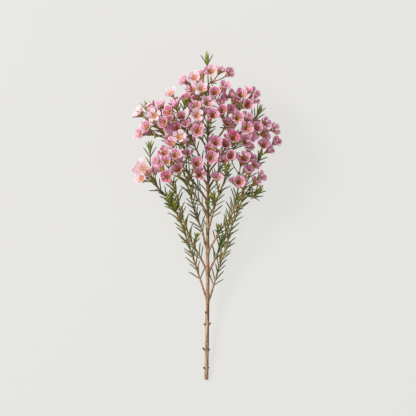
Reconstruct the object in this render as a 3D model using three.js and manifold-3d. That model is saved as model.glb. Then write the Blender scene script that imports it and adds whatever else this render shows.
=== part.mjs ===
// A cut waxflower stem lying on a surface, in millimetres.
// +Y runs from the cut end to the flowers, +Z is up and z = 0 is the surface that it lies on.

import * as THREE from 'three';
import Module from 'manifold-3d';

// Driving dimensions.
const cutEndRadius = 2.5;
const stemTipRadius = 0.65;
const stemRise = 0.14;
const footprintCentre = [-0.74, 199.69];
const joinGap = 0.3;

const branchRadius = 1.15;
const branchTipRadius = 0.7;
const twigRadius = 0.8;
const twigTipRadius = 0.6;
const twigSteps = 2;
const cosWidestFork = Math.cos(THREE.MathUtils.degToRad(48));

const petalReach = 8.2;
const shoulderReach = 7.1;
const notchReach = 3.5;
const shoulderAngle = THREE.MathUtils.degToRad(22);
const petalThickness = 0.65;
const petalHeights = { notch: 0.5, shoulder: 1.7, tip: 2.3 };
const throatRadius = 2.5;
const throatDepth = 1.5;
const calyxRadius = 2.4;
const calyxBaseRadius = 0.85;
const calyxTop = 1.5;
const calyxDepth = 6;
const pedicelRadius = 0.55;
const umbelReach = 17;

const bloomBall = 8.1;
const bloomClearance = 15.4;
const sisterClearance = 12.6;
const settleRounds = 80;

const needleLength = { shortest: 12, longest: 16.5 };
const needleRadius = 0.62;
const needleWidestAt = 0.55;
const needleNodeGap = 5.4;
const needleNodes = [0, 2, 3];
const needleTwist = THREE.MathUtils.degToRad(115);
const tuftNeedles = 5;

// Places along the main stem: x and y of its axis, from the cut end to the tip.
const stemLine = [
  [-1.5, 0], [-0.6, 60], [0.2, 121], [0, 163], [0.6, 223],
  [0.6, 254], [0, 285], [0.6, 316], [1.2, 353], [-0.5, 384],
];

// Short stubs of broken side twigs on the bare part: y, side (-1 left, 1 right), lift and length.
const stubs = [
  [16, -1, 0.5, 3.4], [17, 1, 0.6, 3], [38, -1, 0.2, 6.2], [38.5, 1, 0.3, 4.4], [50, 0.3, 1, 2.6],
  [69, -1, 0.4, 5], [70, 1, 0.3, 5.4], [84, -1, 0.1, 3.6],
];

// Side branches from the lowest fork up, each a list of points on its axis.
const branchLines = [
  [
    [-3.5, 106, 17.5], [-9, 123, 19], [-16, 144, 21.5], [-24, 168, 24],
    [-33, 193, 27], [-41, 211, 29], [-52, 227, 31], [-61, 235, 32],
  ],
  [
    [3.6, 103, 17], [7, 115, 18.5], [15, 141, 22], [23, 164, 26],
    [29, 187, 30], [37, 207, 33], [42, 220, 34], [47, 230, 34],
  ],
  [
    [-3.4, 139, 22], [-10, 152, 26], [-19, 168, 31], [-26, 186, 36],
    [-33, 206, 40], [-38, 226, 43], [-43, 240, 45],
  ],
  [
    [3.4, 136, 21.5], [10, 150, 18], [18, 168, 14], [24, 184, 12],
    [30, 204, 12], [35, 224, 13], [39, 242, 14],
  ],
  [
    [2.6, 161, 27.2], [9, 172, 31], [15, 183, 36], [23, 192, 41], [29, 203, 44],
    [36, 214, 46], [42, 228, 44], [48, 242, 40], [54, 256, 38],
  ],
  [
    [-3.3, 168, 25.4], [-6, 180, 22], [-10, 191, 19], [-15, 204, 15],
    [-19, 218, 12], [-22, 230, 10], [-27, 244, 10],
  ],
  [
    [-1.5, 205, 33.2], [-6, 213, 39], [-13, 222, 45], [-20, 234, 50], [-27, 248, 55], [-32, 260, 60],
  ],
  [
    [-2.4, 222, 34.6], [-11, 234, 37], [-19, 245, 40], [-28, 258, 44],
    [-36, 271, 48], [-44, 286, 52], [-52, 298, 54],
  ],
  [
    [2.6, 190, 31.2], [6, 203, 37], [10, 217, 41], [15, 230, 42], [20, 243, 44], [24, 255, 50],
  ],
  [
    [-2.2, 256, 39.6], [-9, 272, 44], [-15, 284, 47], [-20, 294, 49], [-28, 308, 51], [-34, 318, 52],
  ],
  [
    [2.4, 255, 40.4], [9, 264, 45], [17, 276, 49], [26, 288, 53], [36, 299, 55], [45, 308, 55],
  ],
  [
    [-1.9, 285, 44.3], [-6, 292, 49], [-10, 299, 54], [-13, 308, 60], [-15, 316, 65],
  ],
  [
    [2.3, 286, 44], [11, 294, 47], [18, 303, 49], [25, 314, 50], [31, 325, 50],
  ],
  [
    [-1.2, 240, 34.4], [-10, 254, 26], [-20, 270, 22], [-31, 286, 22], [-41, 300, 24],
  ],
  [
    [2.4, 236, 33.7], [11, 251, 25], [21, 267, 21], [32, 282, 20], [43, 296, 22],
  ],
];
const mainStem = -1;

// Flower clusters: the wood that each grows from, and its blooms as x, y, z and how far each turns upwards.
const clusterTable = [
  { from: mainStem, blooms: [[3, 376, 62, 0.9], [15, 377, 50, 0], [25, 373, 60, 0]] },
  { from: mainStem, blooms: [[-16, 368, 70, 0.6], [-28, 364, 60, 0.3], [-7, 372, 46, 0]] },
  { from: mainStem, blooms: [[-7, 354, 80, 0.9], [-18, 353, 70, 0.2]] },
  { from: mainStem, blooms: [[9, 349, 84, 1], [20, 357, 70, 0.4], [28, 347, 58, 0.1]] },
  { from: 9, blooms: [[-44, 349, 60, 0.4], [-38, 339, 42, 0]] },
  { from: 12, blooms: [[40, 347, 70, 0.8], [56, 349, 60, 0.1], [48, 335, 80, 0.4]] },
  { from: mainStem, blooms: [[-13, 343, 44, 0], [-24, 343, 58, 0.2]] },
  { from: 11, blooms: [[-1, 337, 88, 0.4], [-14, 332, 76, 0.3]] },
  { from: 11, blooms: [[-13, 322, 90, 0.9], [-4, 326, 68, 0.2]] },
  { from: mainStem, blooms: [[6, 322, 93, 1]] },
  { from: 12, blooms: [[18, 327, 82, 0.9], [27, 328, 68, 0.3]] },
  { from: 12, blooms: [[36, 319, 82, 0.5], [23, 313, 68, 0.1]] },
  { from: 7, blooms: [[-56, 335, 62, 0.3], [-67, 334, 50, 0.1]] },
  { from: 9, blooms: [[-40, 334, 72, 0.1], [-46, 326, 84, 0.4], [-52, 313, 78, 0.7]] },
  { from: 7, blooms: [[-64, 322, 74, 0.9], [-84, 324, 50, 0]] },
  { from: 7, blooms: [[-70, 310, 58, 0.4], [-81, 300, 50, 0.7]] },
  { from: 9, blooms: [[-37, 317, 60, 0.2], [-37, 307, 72, 0.5]] },
  { from: 11, blooms: [[-24, 310, 80, 0.3], [-12, 303, 92, 0.9]] },
  { from: 6, blooms: [[-34, 296, 88, 0.9], [-43, 288, 76, 0.3]] },
  { from: 2, blooms: [[-52, 277, 70, 0.8], [-39, 274, 84, 0.5], [-60, 267, 60, 0.5]] },
  { from: 0, blooms: [[-79, 263, 46, 0.4], [-72, 253, 56, 0.7], [-81, 244, 40, 0]] },
  { from: 2, blooms: [[-49, 248, 62, 1], [-35, 257, 66, 0]] },
  { from: 6, blooms: [[-24, 275, 62, 0.2], [-13, 264, 70, 0.4], [-10, 251, 58, 0.5]] },
  { from: 10, blooms: [[10, 289, 82, 0.4], [20, 287, 72, 0.5]] },
  { from: 10, blooms: [[31, 295, 86, 0.7], [44, 291, 74, 0.6]] },
  { from: 10, blooms: [[47, 307, 84, 0.5], [58, 307, 72, 0.5], [47, 320, 62, 0.2]] },
  { from: 10, blooms: [[69, 313, 58, 0.4], [80, 306, 46, 0]] },
  { from: 4, blooms: [[67, 286, 60, 0.9], [82, 290, 46, 0.1]] },
  { from: 8, blooms: [[28, 273, 78, 0.9], [20, 267, 64, 0.1]] },
  { from: 4, blooms: [[44, 271, 66, 0.9], [50, 282, 54, 0.5]] },
  { from: mainStem, blooms: [[7, 281, 66, 0.3], [4, 271, 76, 0.6]] },
  { from: 4, blooms: [[49, 255, 58, 0.8], [38, 242, 66, 0.9]] },
  { from: 1, blooms: [[64, 248, 44, 0.3], [58, 241, 28, 0]] },
  { from: 8, blooms: [[11, 246, 60, 0]] },
  { from: mainStem, blooms: [[-12, 366, 30, -0.3], [-3, 352, 28, -0.5]] },
  { from: 12, blooms: [[32, 340, 38, -0.3], [45, 335, 32, -0.4]] },
  { from: 13, blooms: [[-23, 346, 32, -0.3], [-14, 338, 22, -0.5]] },
  { from: 13, blooms: [[-59, 328, 30, -0.2], [-69, 318, 20, -0.3], [-57, 310, 8, -0.6]] },
  { from: 13, blooms: [[-46, 294, 5, -0.6], [-31, 306, 12, -0.6], [-22, 292, 5, -0.7]] },
  { from: mainStem, blooms: [[-8, 318, 24, -0.5], [6, 324, 14, -0.6]] },
  { from: 14, blooms: [[57, 314, 34, -0.2], [68, 302, 22, -0.3], [55, 298, 6, -0.6]] },
  { from: 14, blooms: [[36, 296, 5, -0.7], [28, 308, 10, -0.6]] },
  { from: 5, blooms: [[-46, 268, 20, -0.2], [-56, 258, 10, -0.3], [-38, 256, 5, -0.6]] },
  { from: 3, blooms: [[42, 266, 20, -0.3], [30, 272, 7, -0.6], [56, 262, 16, -0.3]] },
];

// Leafy shoots with a tuft at the tip and no flowers: the wood each grows from, and its tip.
const shootTable = [
  { from: 0, tip: [-45, 221, 37] },
  { from: 0, tip: [-70, 278, 44] },
  { from: 2, tip: [-14, 174, 37] },
  { from: 4, tip: [10, 191, 44] },
  { from: 8, tip: [7, 226, 52] },
  { from: 8, tip: [22, 252, 62] },
  { from: 1, tip: [57, 226, 38] },
  { from: 7, tip: [-72, 326, 36] },
  { from: 10, tip: [60, 322, 46] },
  { from: 9, tip: [-28, 334, 74] },
  { from: 12, tip: [44, 352, 50] },
  { from: 4, tip: [62, 268, 46] },
];

const wasm = await Module();
wasm.setup();

const vector = ([x, y, z]) => new THREE.Vector3(x, y, z);
const between = (a, b, share) => new THREE.Vector3().lerpVectors(a, b, share);
const towards = (a, b) => new THREE.Vector3().subVectors(b, a).normalize();
const ahead = (point, direction, distance) => point.clone().addScaledVector(direction, distance);

// A repeatable stream of numbers from 0 to 1.
function makeDraw(seed) {
  let state = seed * 7919 + 17;
  return () => {
    state = (state * 1664525 + 1013904223) % 4294967296;
    return state / 4294967296;
  };
}

// Two directions that span the plane across an axis.
function crossPlane(axis) {
  const helper = Math.abs(axis.z) < 0.8 ? new THREE.Vector3(0, 0, 1) : new THREE.Vector3(0, 1, 0);
  const side = new THREE.Vector3().crossVectors(helper, axis).normalize();
  const over = new THREE.Vector3().crossVectors(axis, side);
  return { side, over };
}

// A ring of points round an axis; each entry of outline gives angle, reach, height and lowest z.
function ring(centre, plane, axis, outline) {
  return outline.map(({ angle, reach, height = 0, lowest = 0 }) => {
    const point = ahead(centre, plane.side, Math.cos(angle) * reach);
    point.addScaledVector(plane.over, Math.sin(angle) * reach);
    point.addScaledVector(axis, height);
    point.z = Math.max(point.z, lowest);
    return point;
  });
}

function evenOutline(sides, reach, height = 0, turn = 0, lowest = 0) {
  const step = (2 * Math.PI) / sides;
  return Array.from({ length: sides }, (_, i) => ({ angle: turn + i * step, reach, height, lowest }));
}

// Closed skin over a stack of rings, the first and last capped; rings may differ in their number of points.
function skin(rings) {
  const points = [];
  const faces = [];
  const starts = rings.map((one) => {
    const start = points.length;
    points.push(...one.points);
    return start;
  });
  for (let i = 1; i < rings[0].points.length - 1; i += 1) {
    faces.push([0, i + 1, i]);
  }
  for (let r = 0; r < rings.length - 1; r += 1) {
    zip(faces, rings[r], starts[r], rings[r + 1], starts[r + 1]);
  }
  const last = rings.length - 1;
  for (let i = 1; i < rings[last].points.length - 1; i += 1) {
    faces.push([starts[last], starts[last] + i, starts[last] + i + 1]);
  }
  return { points, faces };
}

// Joins two rings by always taking the next point in order of angle.
function zip(faces, lower, lowerStart, upper, upperStart) {
  const nextShare = (one, i) => (i + 1 < one.points.length ? one.angles[i + 1] : one.angles[0] + 2 * Math.PI);
  const lowerCount = lower.points.length;
  const upperCount = upper.points.length;
  let i = 0;
  let j = 0;
  while (i < lowerCount || (upperCount > 1 && j < upperCount)) {
    const a = lowerStart + (i % lowerCount);
    const b = upperStart + (j % upperCount);
    const lowerNext = i < lowerCount ? nextShare(lower, i) : Infinity;
    const upperNext = upperCount > 1 && j < upperCount ? nextShare(upper, j) : Infinity;
    if (lowerNext <= upperNext) {
      faces.push([a, lowerStart + ((i + 1) % lowerCount), b]);
      i += 1;
    } else {
      faces.push([a, upperStart + ((j + 1) % upperCount), b]);
      j += 1;
    }
  }
}

function ringOf(centre, plane, axis, outline) {
  return { points: ring(centre, plane, axis, outline), angles: outline.map(({ angle }) => angle) };
}

// A tapered round stick along a line of points.
function stick(line, startRadius, endRadius, sides) {
  const lengths = line.map((_, i) => (i === 0 ? 0 : line[i].distanceTo(line[i - 1])));
  const total = lengths.reduce((sum, one) => sum + one, 0);
  let plane = crossPlane(towards(line[0], line[1]));
  let run = 0;
  const rings = line.map((point, i) => {
    const axis = towards(line[Math.max(i - 1, 0)], line[Math.min(i + 1, line.length - 1)]);
    const over = new THREE.Vector3().crossVectors(axis, plane.side).normalize();
    plane = { over, side: new THREE.Vector3().crossVectors(over, axis) };
    run += lengths[i];
    const radius = startRadius + (endRadius - startRadius) * (run / total);
    return ringOf(point, plane, axis, evenOutline(sides, radius, 0, Math.PI / 2));
  });
  return skin(rings);
}

// Solids and fusing.
function solidOf({ points, faces }) {
  const vertProperties = new Float32Array(points.flatMap((point) => point.toArray()));
  const triVerts = new Uint32Array(faces.flat());
  return new wasm.Manifold(new wasm.Mesh({ numProp: 3, vertProperties, triVerts }));
}

function fuse(shapes) {
  return shapes.map(solidOf).reduce((whole, piece) => whole.add(piece));
}

function namedMesh(name, solid, material, anchor) {
  const { vertProperties, triVerts } = solid.getMesh();
  const geometry = new THREE.BufferGeometry();
  geometry.setAttribute('position', new THREE.BufferAttribute(new Float32Array(vertProperties), 3));
  geometry.setIndex(new THREE.BufferAttribute(new Uint32Array(triVerts), 1));
  geometry.translate(-anchor.x, -anchor.y, -anchor.z);
  const mesh = new THREE.Mesh(geometry, material);
  mesh.name = name;
  mesh.position.copy(anchor);
  return mesh;
}

const numbered = (word, index) => `${word}_${String(index + 1).padStart(2, '0')}`;

// Wood.
function stemAxis() {
  return stemLine.map(([x, y]) => new THREE.Vector3(x, y, cutEndRadius + y * stemRise));
}

function stemPointAt(axis, y) {
  const next = Math.max(axis.findIndex((point) => point.y > y), 1);
  return between(axis[next - 1], axis[next], (y - axis[next - 1].y) / (axis[next].y - axis[next - 1].y));
}

// Points on a line every few millimetres, each with the line's direction there.
function walk(line, step) {
  const stops = [];
  for (let i = 1; i < line.length; i += 1) {
    const direction = towards(line[i - 1], line[i]);
    const length = line[i].distanceTo(line[i - 1]);
    const count = Math.max(Math.round(length / step), 1);
    for (let k = 0; k < count; k += 1) {
      stops.push({ point: between(line[i - 1], line[i], k / count), direction });
    }
  }
  return stops;
}

// Where a twig to the goal leaves its wood: the nearest place from which it forks off at a narrow angle.
function forkPoint(line, goal) {
  let best = null;
  for (const stop of walk(line, 3)) {
    const distance = stop.point.distanceTo(goal);
    const cosFork = towards(stop.point, goal).dot(stop.direction);
    const cost = distance + (cosFork < cosWidestFork ? 1000 * (cosWidestFork - cosFork) : 0);
    if (best === null || cost < best.cost) {
      best = { ...stop, cost };
    }
  }
  return best;
}

function twigLine(fork, end) {
  const length = fork.point.distanceTo(end);
  const bend = ahead(fork.point, fork.direction, length * 0.4);
  return Array.from({ length: twigSteps + 1 }, (_, i) => {
    const share = i / twigSteps;
    return between(between(fork.point, bend, share), between(bend, end, share), share);
  });
}

function woodLine(from, axis, branches) {
  return from === mainStem ? axis : branches[from];
}

// Flowers: each cluster has a foot, from which its pedicels part, and its blooms.
function makeClusters() {
  return clusterTable.map(({ from, blooms }, index) => {
    const draw = makeDraw(index + 1);
    return {
      from,
      blooms: blooms.map(([x, y, z, light]) => ({
        centre: new THREE.Vector3(x, y, z),
        light,
        sway: new THREE.Vector3(draw() - 0.5, draw() - 0.5, draw() - 0.5),
        turn: draw() * 2 * Math.PI,
      })),
    };
  });
}

function placeFoot(cluster, axis, branches) {
  const middle = new THREE.Vector3();
  cluster.blooms.forEach(({ centre }) => middle.addScaledVector(centre, 1 / cluster.blooms.length));
  cluster.fork = forkPoint(woodLine(cluster.from, axis, branches), middle);
  const distance = cluster.fork.point.distanceTo(middle);
  const direction = towards(cluster.fork.point, middle);
  cluster.foot = ahead(cluster.fork.point, direction, Math.max(distance - umbelReach, 4));
  const twig = twigLine(cluster.fork, cluster.foot);
  const arrival = towards(twig[twigSteps - 1], cluster.foot);
  twig[twigSteps] = ahead(cluster.foot, arrival, -pedicelRadius - joinGap);
  cluster.twig = twig;
  cluster.blooms.forEach((bloom) => faceBloom(bloom, cluster.foot, axis));
}

function faceBloom(bloom, foot, axis) {
  const inner = stemPointAt(axis, Math.max(bloom.centre.y - 45, 100));
  bloom.face = towards(foot, bloom.centre).multiplyScalar(0.6);
  bloom.face.addScaledVector(towards(inner, bloom.centre), 0.5);
  bloom.face.addScaledVector(bloom.sway, 0.5);
  bloom.face.z += bloom.light;
  bloom.face.normalize();
  bloom.base = ahead(bloom.centre, bloom.face, -calyxDepth);
}

function nearestOnSegment(point, start, end) {
  const along = new THREE.Vector3().subVectors(end, start);
  const share = new THREE.Vector3().subVectors(point, start).dot(along) / along.lengthSq();
  return between(start, end, Math.min(Math.max(share, 0), 1));
}

// Blooms crowd each other and the wood aside, mostly up and down, until each has room.
function settleClusters(clusters, axis, branches) {
  const blooms = clusters.flatMap((cluster, index) => cluster.blooms.map((bloom) => ({ bloom, index })));
  for (let round = 0; round < settleRounds; round += 1) {
    clusters.forEach((cluster) => placeFoot(cluster, axis, branches));
    const sticks = woodSegments(clusters, axis, branches);
    const pushes = blooms.map(() => new THREE.Vector3());
    blooms.forEach((one, i) => {
      blooms.slice(i + 1).forEach((other, k) => {
        const clearance = one.index === other.index ? sisterClearance : bloomClearance;
        const apart = new THREE.Vector3().subVectors(one.bloom.centre, other.bloom.centre);
        const lack = clearance - apart.length();
        if (lack > 0) {
          apart.normalize().multiplyScalar(lack * 0.35);
          pushes[i].add(apart);
          pushes[i + 1 + k].sub(apart);
        }
      });
      sticks.filter(({ index }) => index !== one.index).forEach(({ start, end, radius }) => {
        const nearest = nearestOnSegment(one.bloom.centre, start, end);
        const apart = new THREE.Vector3().subVectors(one.bloom.centre, nearest);
        const lack = bloomBall + radius + joinGap - apart.length();
        if (lack > 0) {
          pushes[i].add(apart.normalize().multiplyScalar(lack * 0.5));
        }
      });
    });
    blooms.forEach(({ bloom }, i) => {
      bloom.centre.x += pushes[i].x * 0.5;
      bloom.centre.y += pushes[i].y * 0.5;
      bloom.centre.z += pushes[i].z;
      bloom.centre.z = Math.max(bloom.centre.z, 4.5);
    });
  }
  clusters.forEach((cluster) => placeFoot(cluster, axis, branches));
}

// All wood and pedicels as straight pieces with a radius; index names the cluster that a piece feeds.
function woodSegments(clusters, axis, branches) {
  const segments = [];
  const addLine = (line, radius, index) => {
    for (let i = 1; i < line.length; i += 1) {
      segments.push({ start: line[i - 1], end: line[i], radius, index });
    }
  };
  addLine(axis, 1.4, -1);
  branches.forEach((line) => addLine(line, branchRadius, -1));
  clusters.forEach((cluster, index) => {
    addLine(cluster.twig, twigRadius, index);
    cluster.blooms.forEach((bloom) => addLine([cluster.foot, bloom.base], pedicelRadius, index));
  });
  return segments;
}

// One bloom: pedicel, calyx cup, five petals round a sunken throat, as one closed skin.
function bloomShape(bloom, foot) {
  const { centre, face, base, turn } = bloom;
  const plane = crossPlane(face);
  const pedicelAxis = towards(foot, base);
  const over = new THREE.Vector3().crossVectors(pedicelAxis, plane.side).normalize();
  const pedicelPlane = { over, side: new THREE.Vector3().crossVectors(over, pedicelAxis) };
  const petals = petalOutline(turn);
  const under = petals.filter((_, i) => i % 2 === 0)
    .map((point) => ({ ...point, height: point.height - petalThickness, lowest: 0 }));
  const notches = turn - Math.PI / 5;
  return skin([
    ringOf(foot, pedicelPlane, pedicelAxis, evenOutline(3, pedicelRadius, 0, notches)),
    ringOf(base, plane, face, evenOutline(3, calyxBaseRadius, 0, notches)),
    ringOf(centre, plane, face, evenOutline(5, calyxRadius, -calyxTop, notches, 0.2)),
    ringOf(centre, plane, face, under),
    ringOf(centre, plane, face, petals),
    ringOf(centre, plane, face, evenOutline(5, throatRadius, 0, notches, petalThickness)),
    ringOf(centre, plane, face, [{ angle: notches, reach: 0, height: -throatDepth, lowest: 0.4 }]),
  ]);
}

function petalOutline(turn) {
  const outline = [];
  for (let petal = 0; petal < 5; petal += 1) {
    const middle = turn + (petal / 5) * 2 * Math.PI;
    outline.push({ angle: middle - Math.PI / 5, reach: notchReach, height: petalHeights.notch });
    outline.push({ angle: middle - shoulderAngle, reach: shoulderReach, height: petalHeights.shoulder });
    outline.push({ angle: middle, reach: petalReach, height: petalHeights.tip });
    outline.push({ angle: middle + shoulderAngle, reach: shoulderReach, height: petalHeights.shoulder });
  }
  return outline.map((point) => ({ ...point, lowest: petalThickness }));
}

function clusterMesh(cluster, index, material) {
  const shapes = cluster.blooms.map((bloom) => bloomShape(bloom, cluster.foot));
  return namedMesh(numbered('flower_cluster', index), fuse(shapes), material, cluster.foot);
}

// Needles: one closed sliver from the middle of the wood to its tip.
function needleShape({ root, direction, length }) {
  const tip = ahead(root, direction, length);
  tip.z = Math.max(tip.z, 0.1);
  const middle = between(root, tip, needleWidestAt);
  middle.z = Math.max(middle.z, needleRadius);
  const plane = crossPlane(direction);
  return skin([
    { points: [root], angles: [0] },
    ringOf(middle, plane, direction, evenOutline(3, needleRadius, 0, Math.PI / 6)),
    { points: [tip], angles: [0] },
  ]);
}

function leaning(direction, angle, lean) {
  const plane = crossPlane(direction);
  const result = direction.clone().multiplyScalar(Math.cos(lean));
  result.addScaledVector(plane.side, Math.sin(lean) * Math.cos(angle));
  result.addScaledVector(plane.over, Math.sin(lean) * Math.sin(angle));
  return result.normalize();
}

// Needles along a line of wood from share start on: at three nodes of five, one needle of the pair.
function needlesAlong(line, start, draw) {
  const stops = walk(line, needleNodeGap);
  const needles = [];
  stops.forEach(({ point, direction }, node) => {
    const spread = draw();
    const stretch = draw();
    if (needleNodes.includes(node % 5) && node >= start * stops.length) {
      const length = needleLength.shortest + stretch * (needleLength.longest - needleLength.shortest);
      const lean = THREE.MathUtils.degToRad(30 + spread * 18);
      needles.push({ root: point, direction: leaning(direction, node * needleTwist, lean), length });
    }
  });
  return needles;
}

function tuft(line, draw) {
  const end = line[line.length - 1];
  const direction = towards(line[line.length - 2], end);
  return Array.from({ length: tuftNeedles }, (_, i) => {
    const lean = THREE.MathUtils.degToRad(i === 0 ? 4 : 15 + draw() * 12);
    const length = i === 0 ? needleLength.longest : needleLength.shortest + draw() * 3;
    const root = ahead(end, direction, -0.5 - i * 0.9);
    return { root, direction: leaning(direction, i * 2.4, lean), length };
  });
}

// Keeps a needle only where it clears every bloom, pedicel, twig and needle of the other pieces.
function clearNeedles(needles, owner, obstacles) {
  const kept = needles.filter((needle) => {
    const start = ahead(needle.root, needle.direction, 1.5);
    const end = ahead(needle.root, needle.direction, needle.length);
    return obstacles.every((other) => other.owner === owner
      || segmentDistance(start, end, other.start, other.end) > needleRadius + other.radius + joinGap);
  });
  kept.forEach((needle) => obstacles.push({
    owner, start: needle.root, end: ahead(needle.root, needle.direction, needle.length), radius: needleRadius,
  }));
  return kept;
}

function segmentDistance(a, b, c, d) {
  const samples = 8;
  let nearest = Infinity;
  for (let i = 0; i <= samples; i += 1) {
    const point = between(a, b, i / samples);
    nearest = Math.min(nearest, point.distanceTo(nearestOnSegment(point, c, d)));
  }
  for (const point of [c, d]) {
    nearest = Math.min(nearest, point.distanceTo(nearestOnSegment(point, a, b)));
  }
  return nearest;
}

function obstaclesOf(clusters, axis, branches, shoots) {
  const obstacles = [];
  const addLine = (line, radius, owner) => {
    for (let i = 1; i < line.length; i += 1) {
      obstacles.push({ start: line[i - 1], end: line[i], radius, owner });
    }
  };
  addLine(axis, 1.6, mainStem);
  branches.forEach((line, owner) => addLine(line, branchRadius, owner));
  shoots.forEach(({ from, line }) => addLine(line, twigRadius, from));
  clusters.forEach((cluster) => {
    addLine(cluster.twig, twigRadius, cluster.from);
    cluster.blooms.forEach((bloom) => {
      addLine([cluster.foot, bloom.base], calyxBaseRadius, 'flowers');
      addLine([bloom.base, bloom.centre], bloomBall, 'flowers');
    });
  });
  return obstacles;
}

// All wood and needles that hold together as one piece.
function woodyShapes(owner, line, startNeedles, parts) {
  const { clusters, shoots, obstacles } = parts;
  const draw = makeDraw(500 + owner);
  const ownClusters = clusters.filter(({ from }) => from === owner);
  const ownShoots = shoots.filter(({ from }) => from === owner);
  const needles = [
    ...needlesAlong(line, startNeedles, draw),
    ...ownClusters.flatMap(({ twig }) => needlesAlong(twig, 0.2, draw)),
    ...ownShoots.flatMap((shoot) => [...needlesAlong(shoot.line, 0.1, draw), ...tuft(shoot.line, draw)]),
  ];
  return [
    ...ownClusters.map(({ twig }) => stick(twig, twigRadius, twigTipRadius, 3)),
    ...ownShoots.map((shoot) => stick(shoot.line, twigRadius, twigTipRadius, 3)),
    ...clearNeedles(needles, owner, obstacles).map(needleShape),
  ];
}

function stubShape([y, side, lift, length], axis) {
  const root = stemPointAt(axis, y);
  const direction = new THREE.Vector3(side, 0.9, lift).normalize();
  return stick([root, ahead(root, direction, length)], 0.95, 0.7, 4);
}

function mainStemMesh(axis, parts, material) {
  const shapes = [
    stick(axis, cutEndRadius, stemTipRadius, 8),
    ...stubs.map((stub) => stubShape(stub, axis)),
    ...woodyShapes(mainStem, axis, 0.44, parts),
    ...clearNeedles(tuft(axis, makeDraw(499)), mainStem, parts.obstacles).map(needleShape),
  ];
  return namedMesh('main_stem', fuse(shapes), material, axis[0]);
}

function branchMesh(line, index, parts, material) {
  const shapes = [stick(line, branchRadius, branchTipRadius, 4), ...woodyShapes(index, line, 0.08, parts)];
  return namedMesh(numbered('leafy_branch', index), fuse(shapes), material, line[0]);
}

function waxflowerStem() {
  const bark = new THREE.MeshStandardMaterial({ color: '#9c6f58', roughness: 0.8, metalness: 0 });
  const leaf = new THREE.MeshStandardMaterial({ color: '#4d6338', roughness: 0.55, metalness: 0 });
  const petal = new THREE.MeshStandardMaterial({ color: '#cf86ad', roughness: 0.6, metalness: 0 });

  const axis = stemAxis();
  const branches = branchLines.map((line) => line.map(vector));
  const clusters = makeClusters();
  settleClusters(clusters, axis, branches);
  const shoots = shootTable.map(({ from, tip }) => {
    const end = vector(tip);
    return { from, line: twigLine(forkPoint(woodLine(from, axis, branches), end), end) };
  });
  const obstacles = obstaclesOf(clusters, axis, branches, shoots);
  const parts = { clusters, shoots, obstacles };

  const group = new THREE.Group();
  group.add(mainStemMesh(axis, parts, bark));
  branches.forEach((line, index) => group.add(branchMesh(line, index, parts, leaf.clone())));
  clusters.forEach((cluster, index) => group.add(clusterMesh(cluster, index, petal.clone())));
  group.position.set(-footprintCentre[0], -footprintCentre[1], 0);
  return group;
}

export default waxflowerStem();
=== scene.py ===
import math

import bmesh
import bpy
import numpy as np
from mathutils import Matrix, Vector


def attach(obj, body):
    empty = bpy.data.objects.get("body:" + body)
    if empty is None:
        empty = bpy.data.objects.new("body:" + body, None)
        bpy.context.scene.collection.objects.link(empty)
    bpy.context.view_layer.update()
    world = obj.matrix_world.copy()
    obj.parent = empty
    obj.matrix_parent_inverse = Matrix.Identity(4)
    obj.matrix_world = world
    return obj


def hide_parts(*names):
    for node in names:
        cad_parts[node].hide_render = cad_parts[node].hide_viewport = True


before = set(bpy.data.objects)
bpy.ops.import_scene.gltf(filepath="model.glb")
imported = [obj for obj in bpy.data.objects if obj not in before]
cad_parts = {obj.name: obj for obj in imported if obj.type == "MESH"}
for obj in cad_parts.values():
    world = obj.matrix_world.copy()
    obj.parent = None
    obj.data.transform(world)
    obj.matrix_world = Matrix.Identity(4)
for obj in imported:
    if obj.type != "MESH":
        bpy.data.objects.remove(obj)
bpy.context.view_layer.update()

print("frame loaded, CAD nodes:", len(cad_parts))

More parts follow.
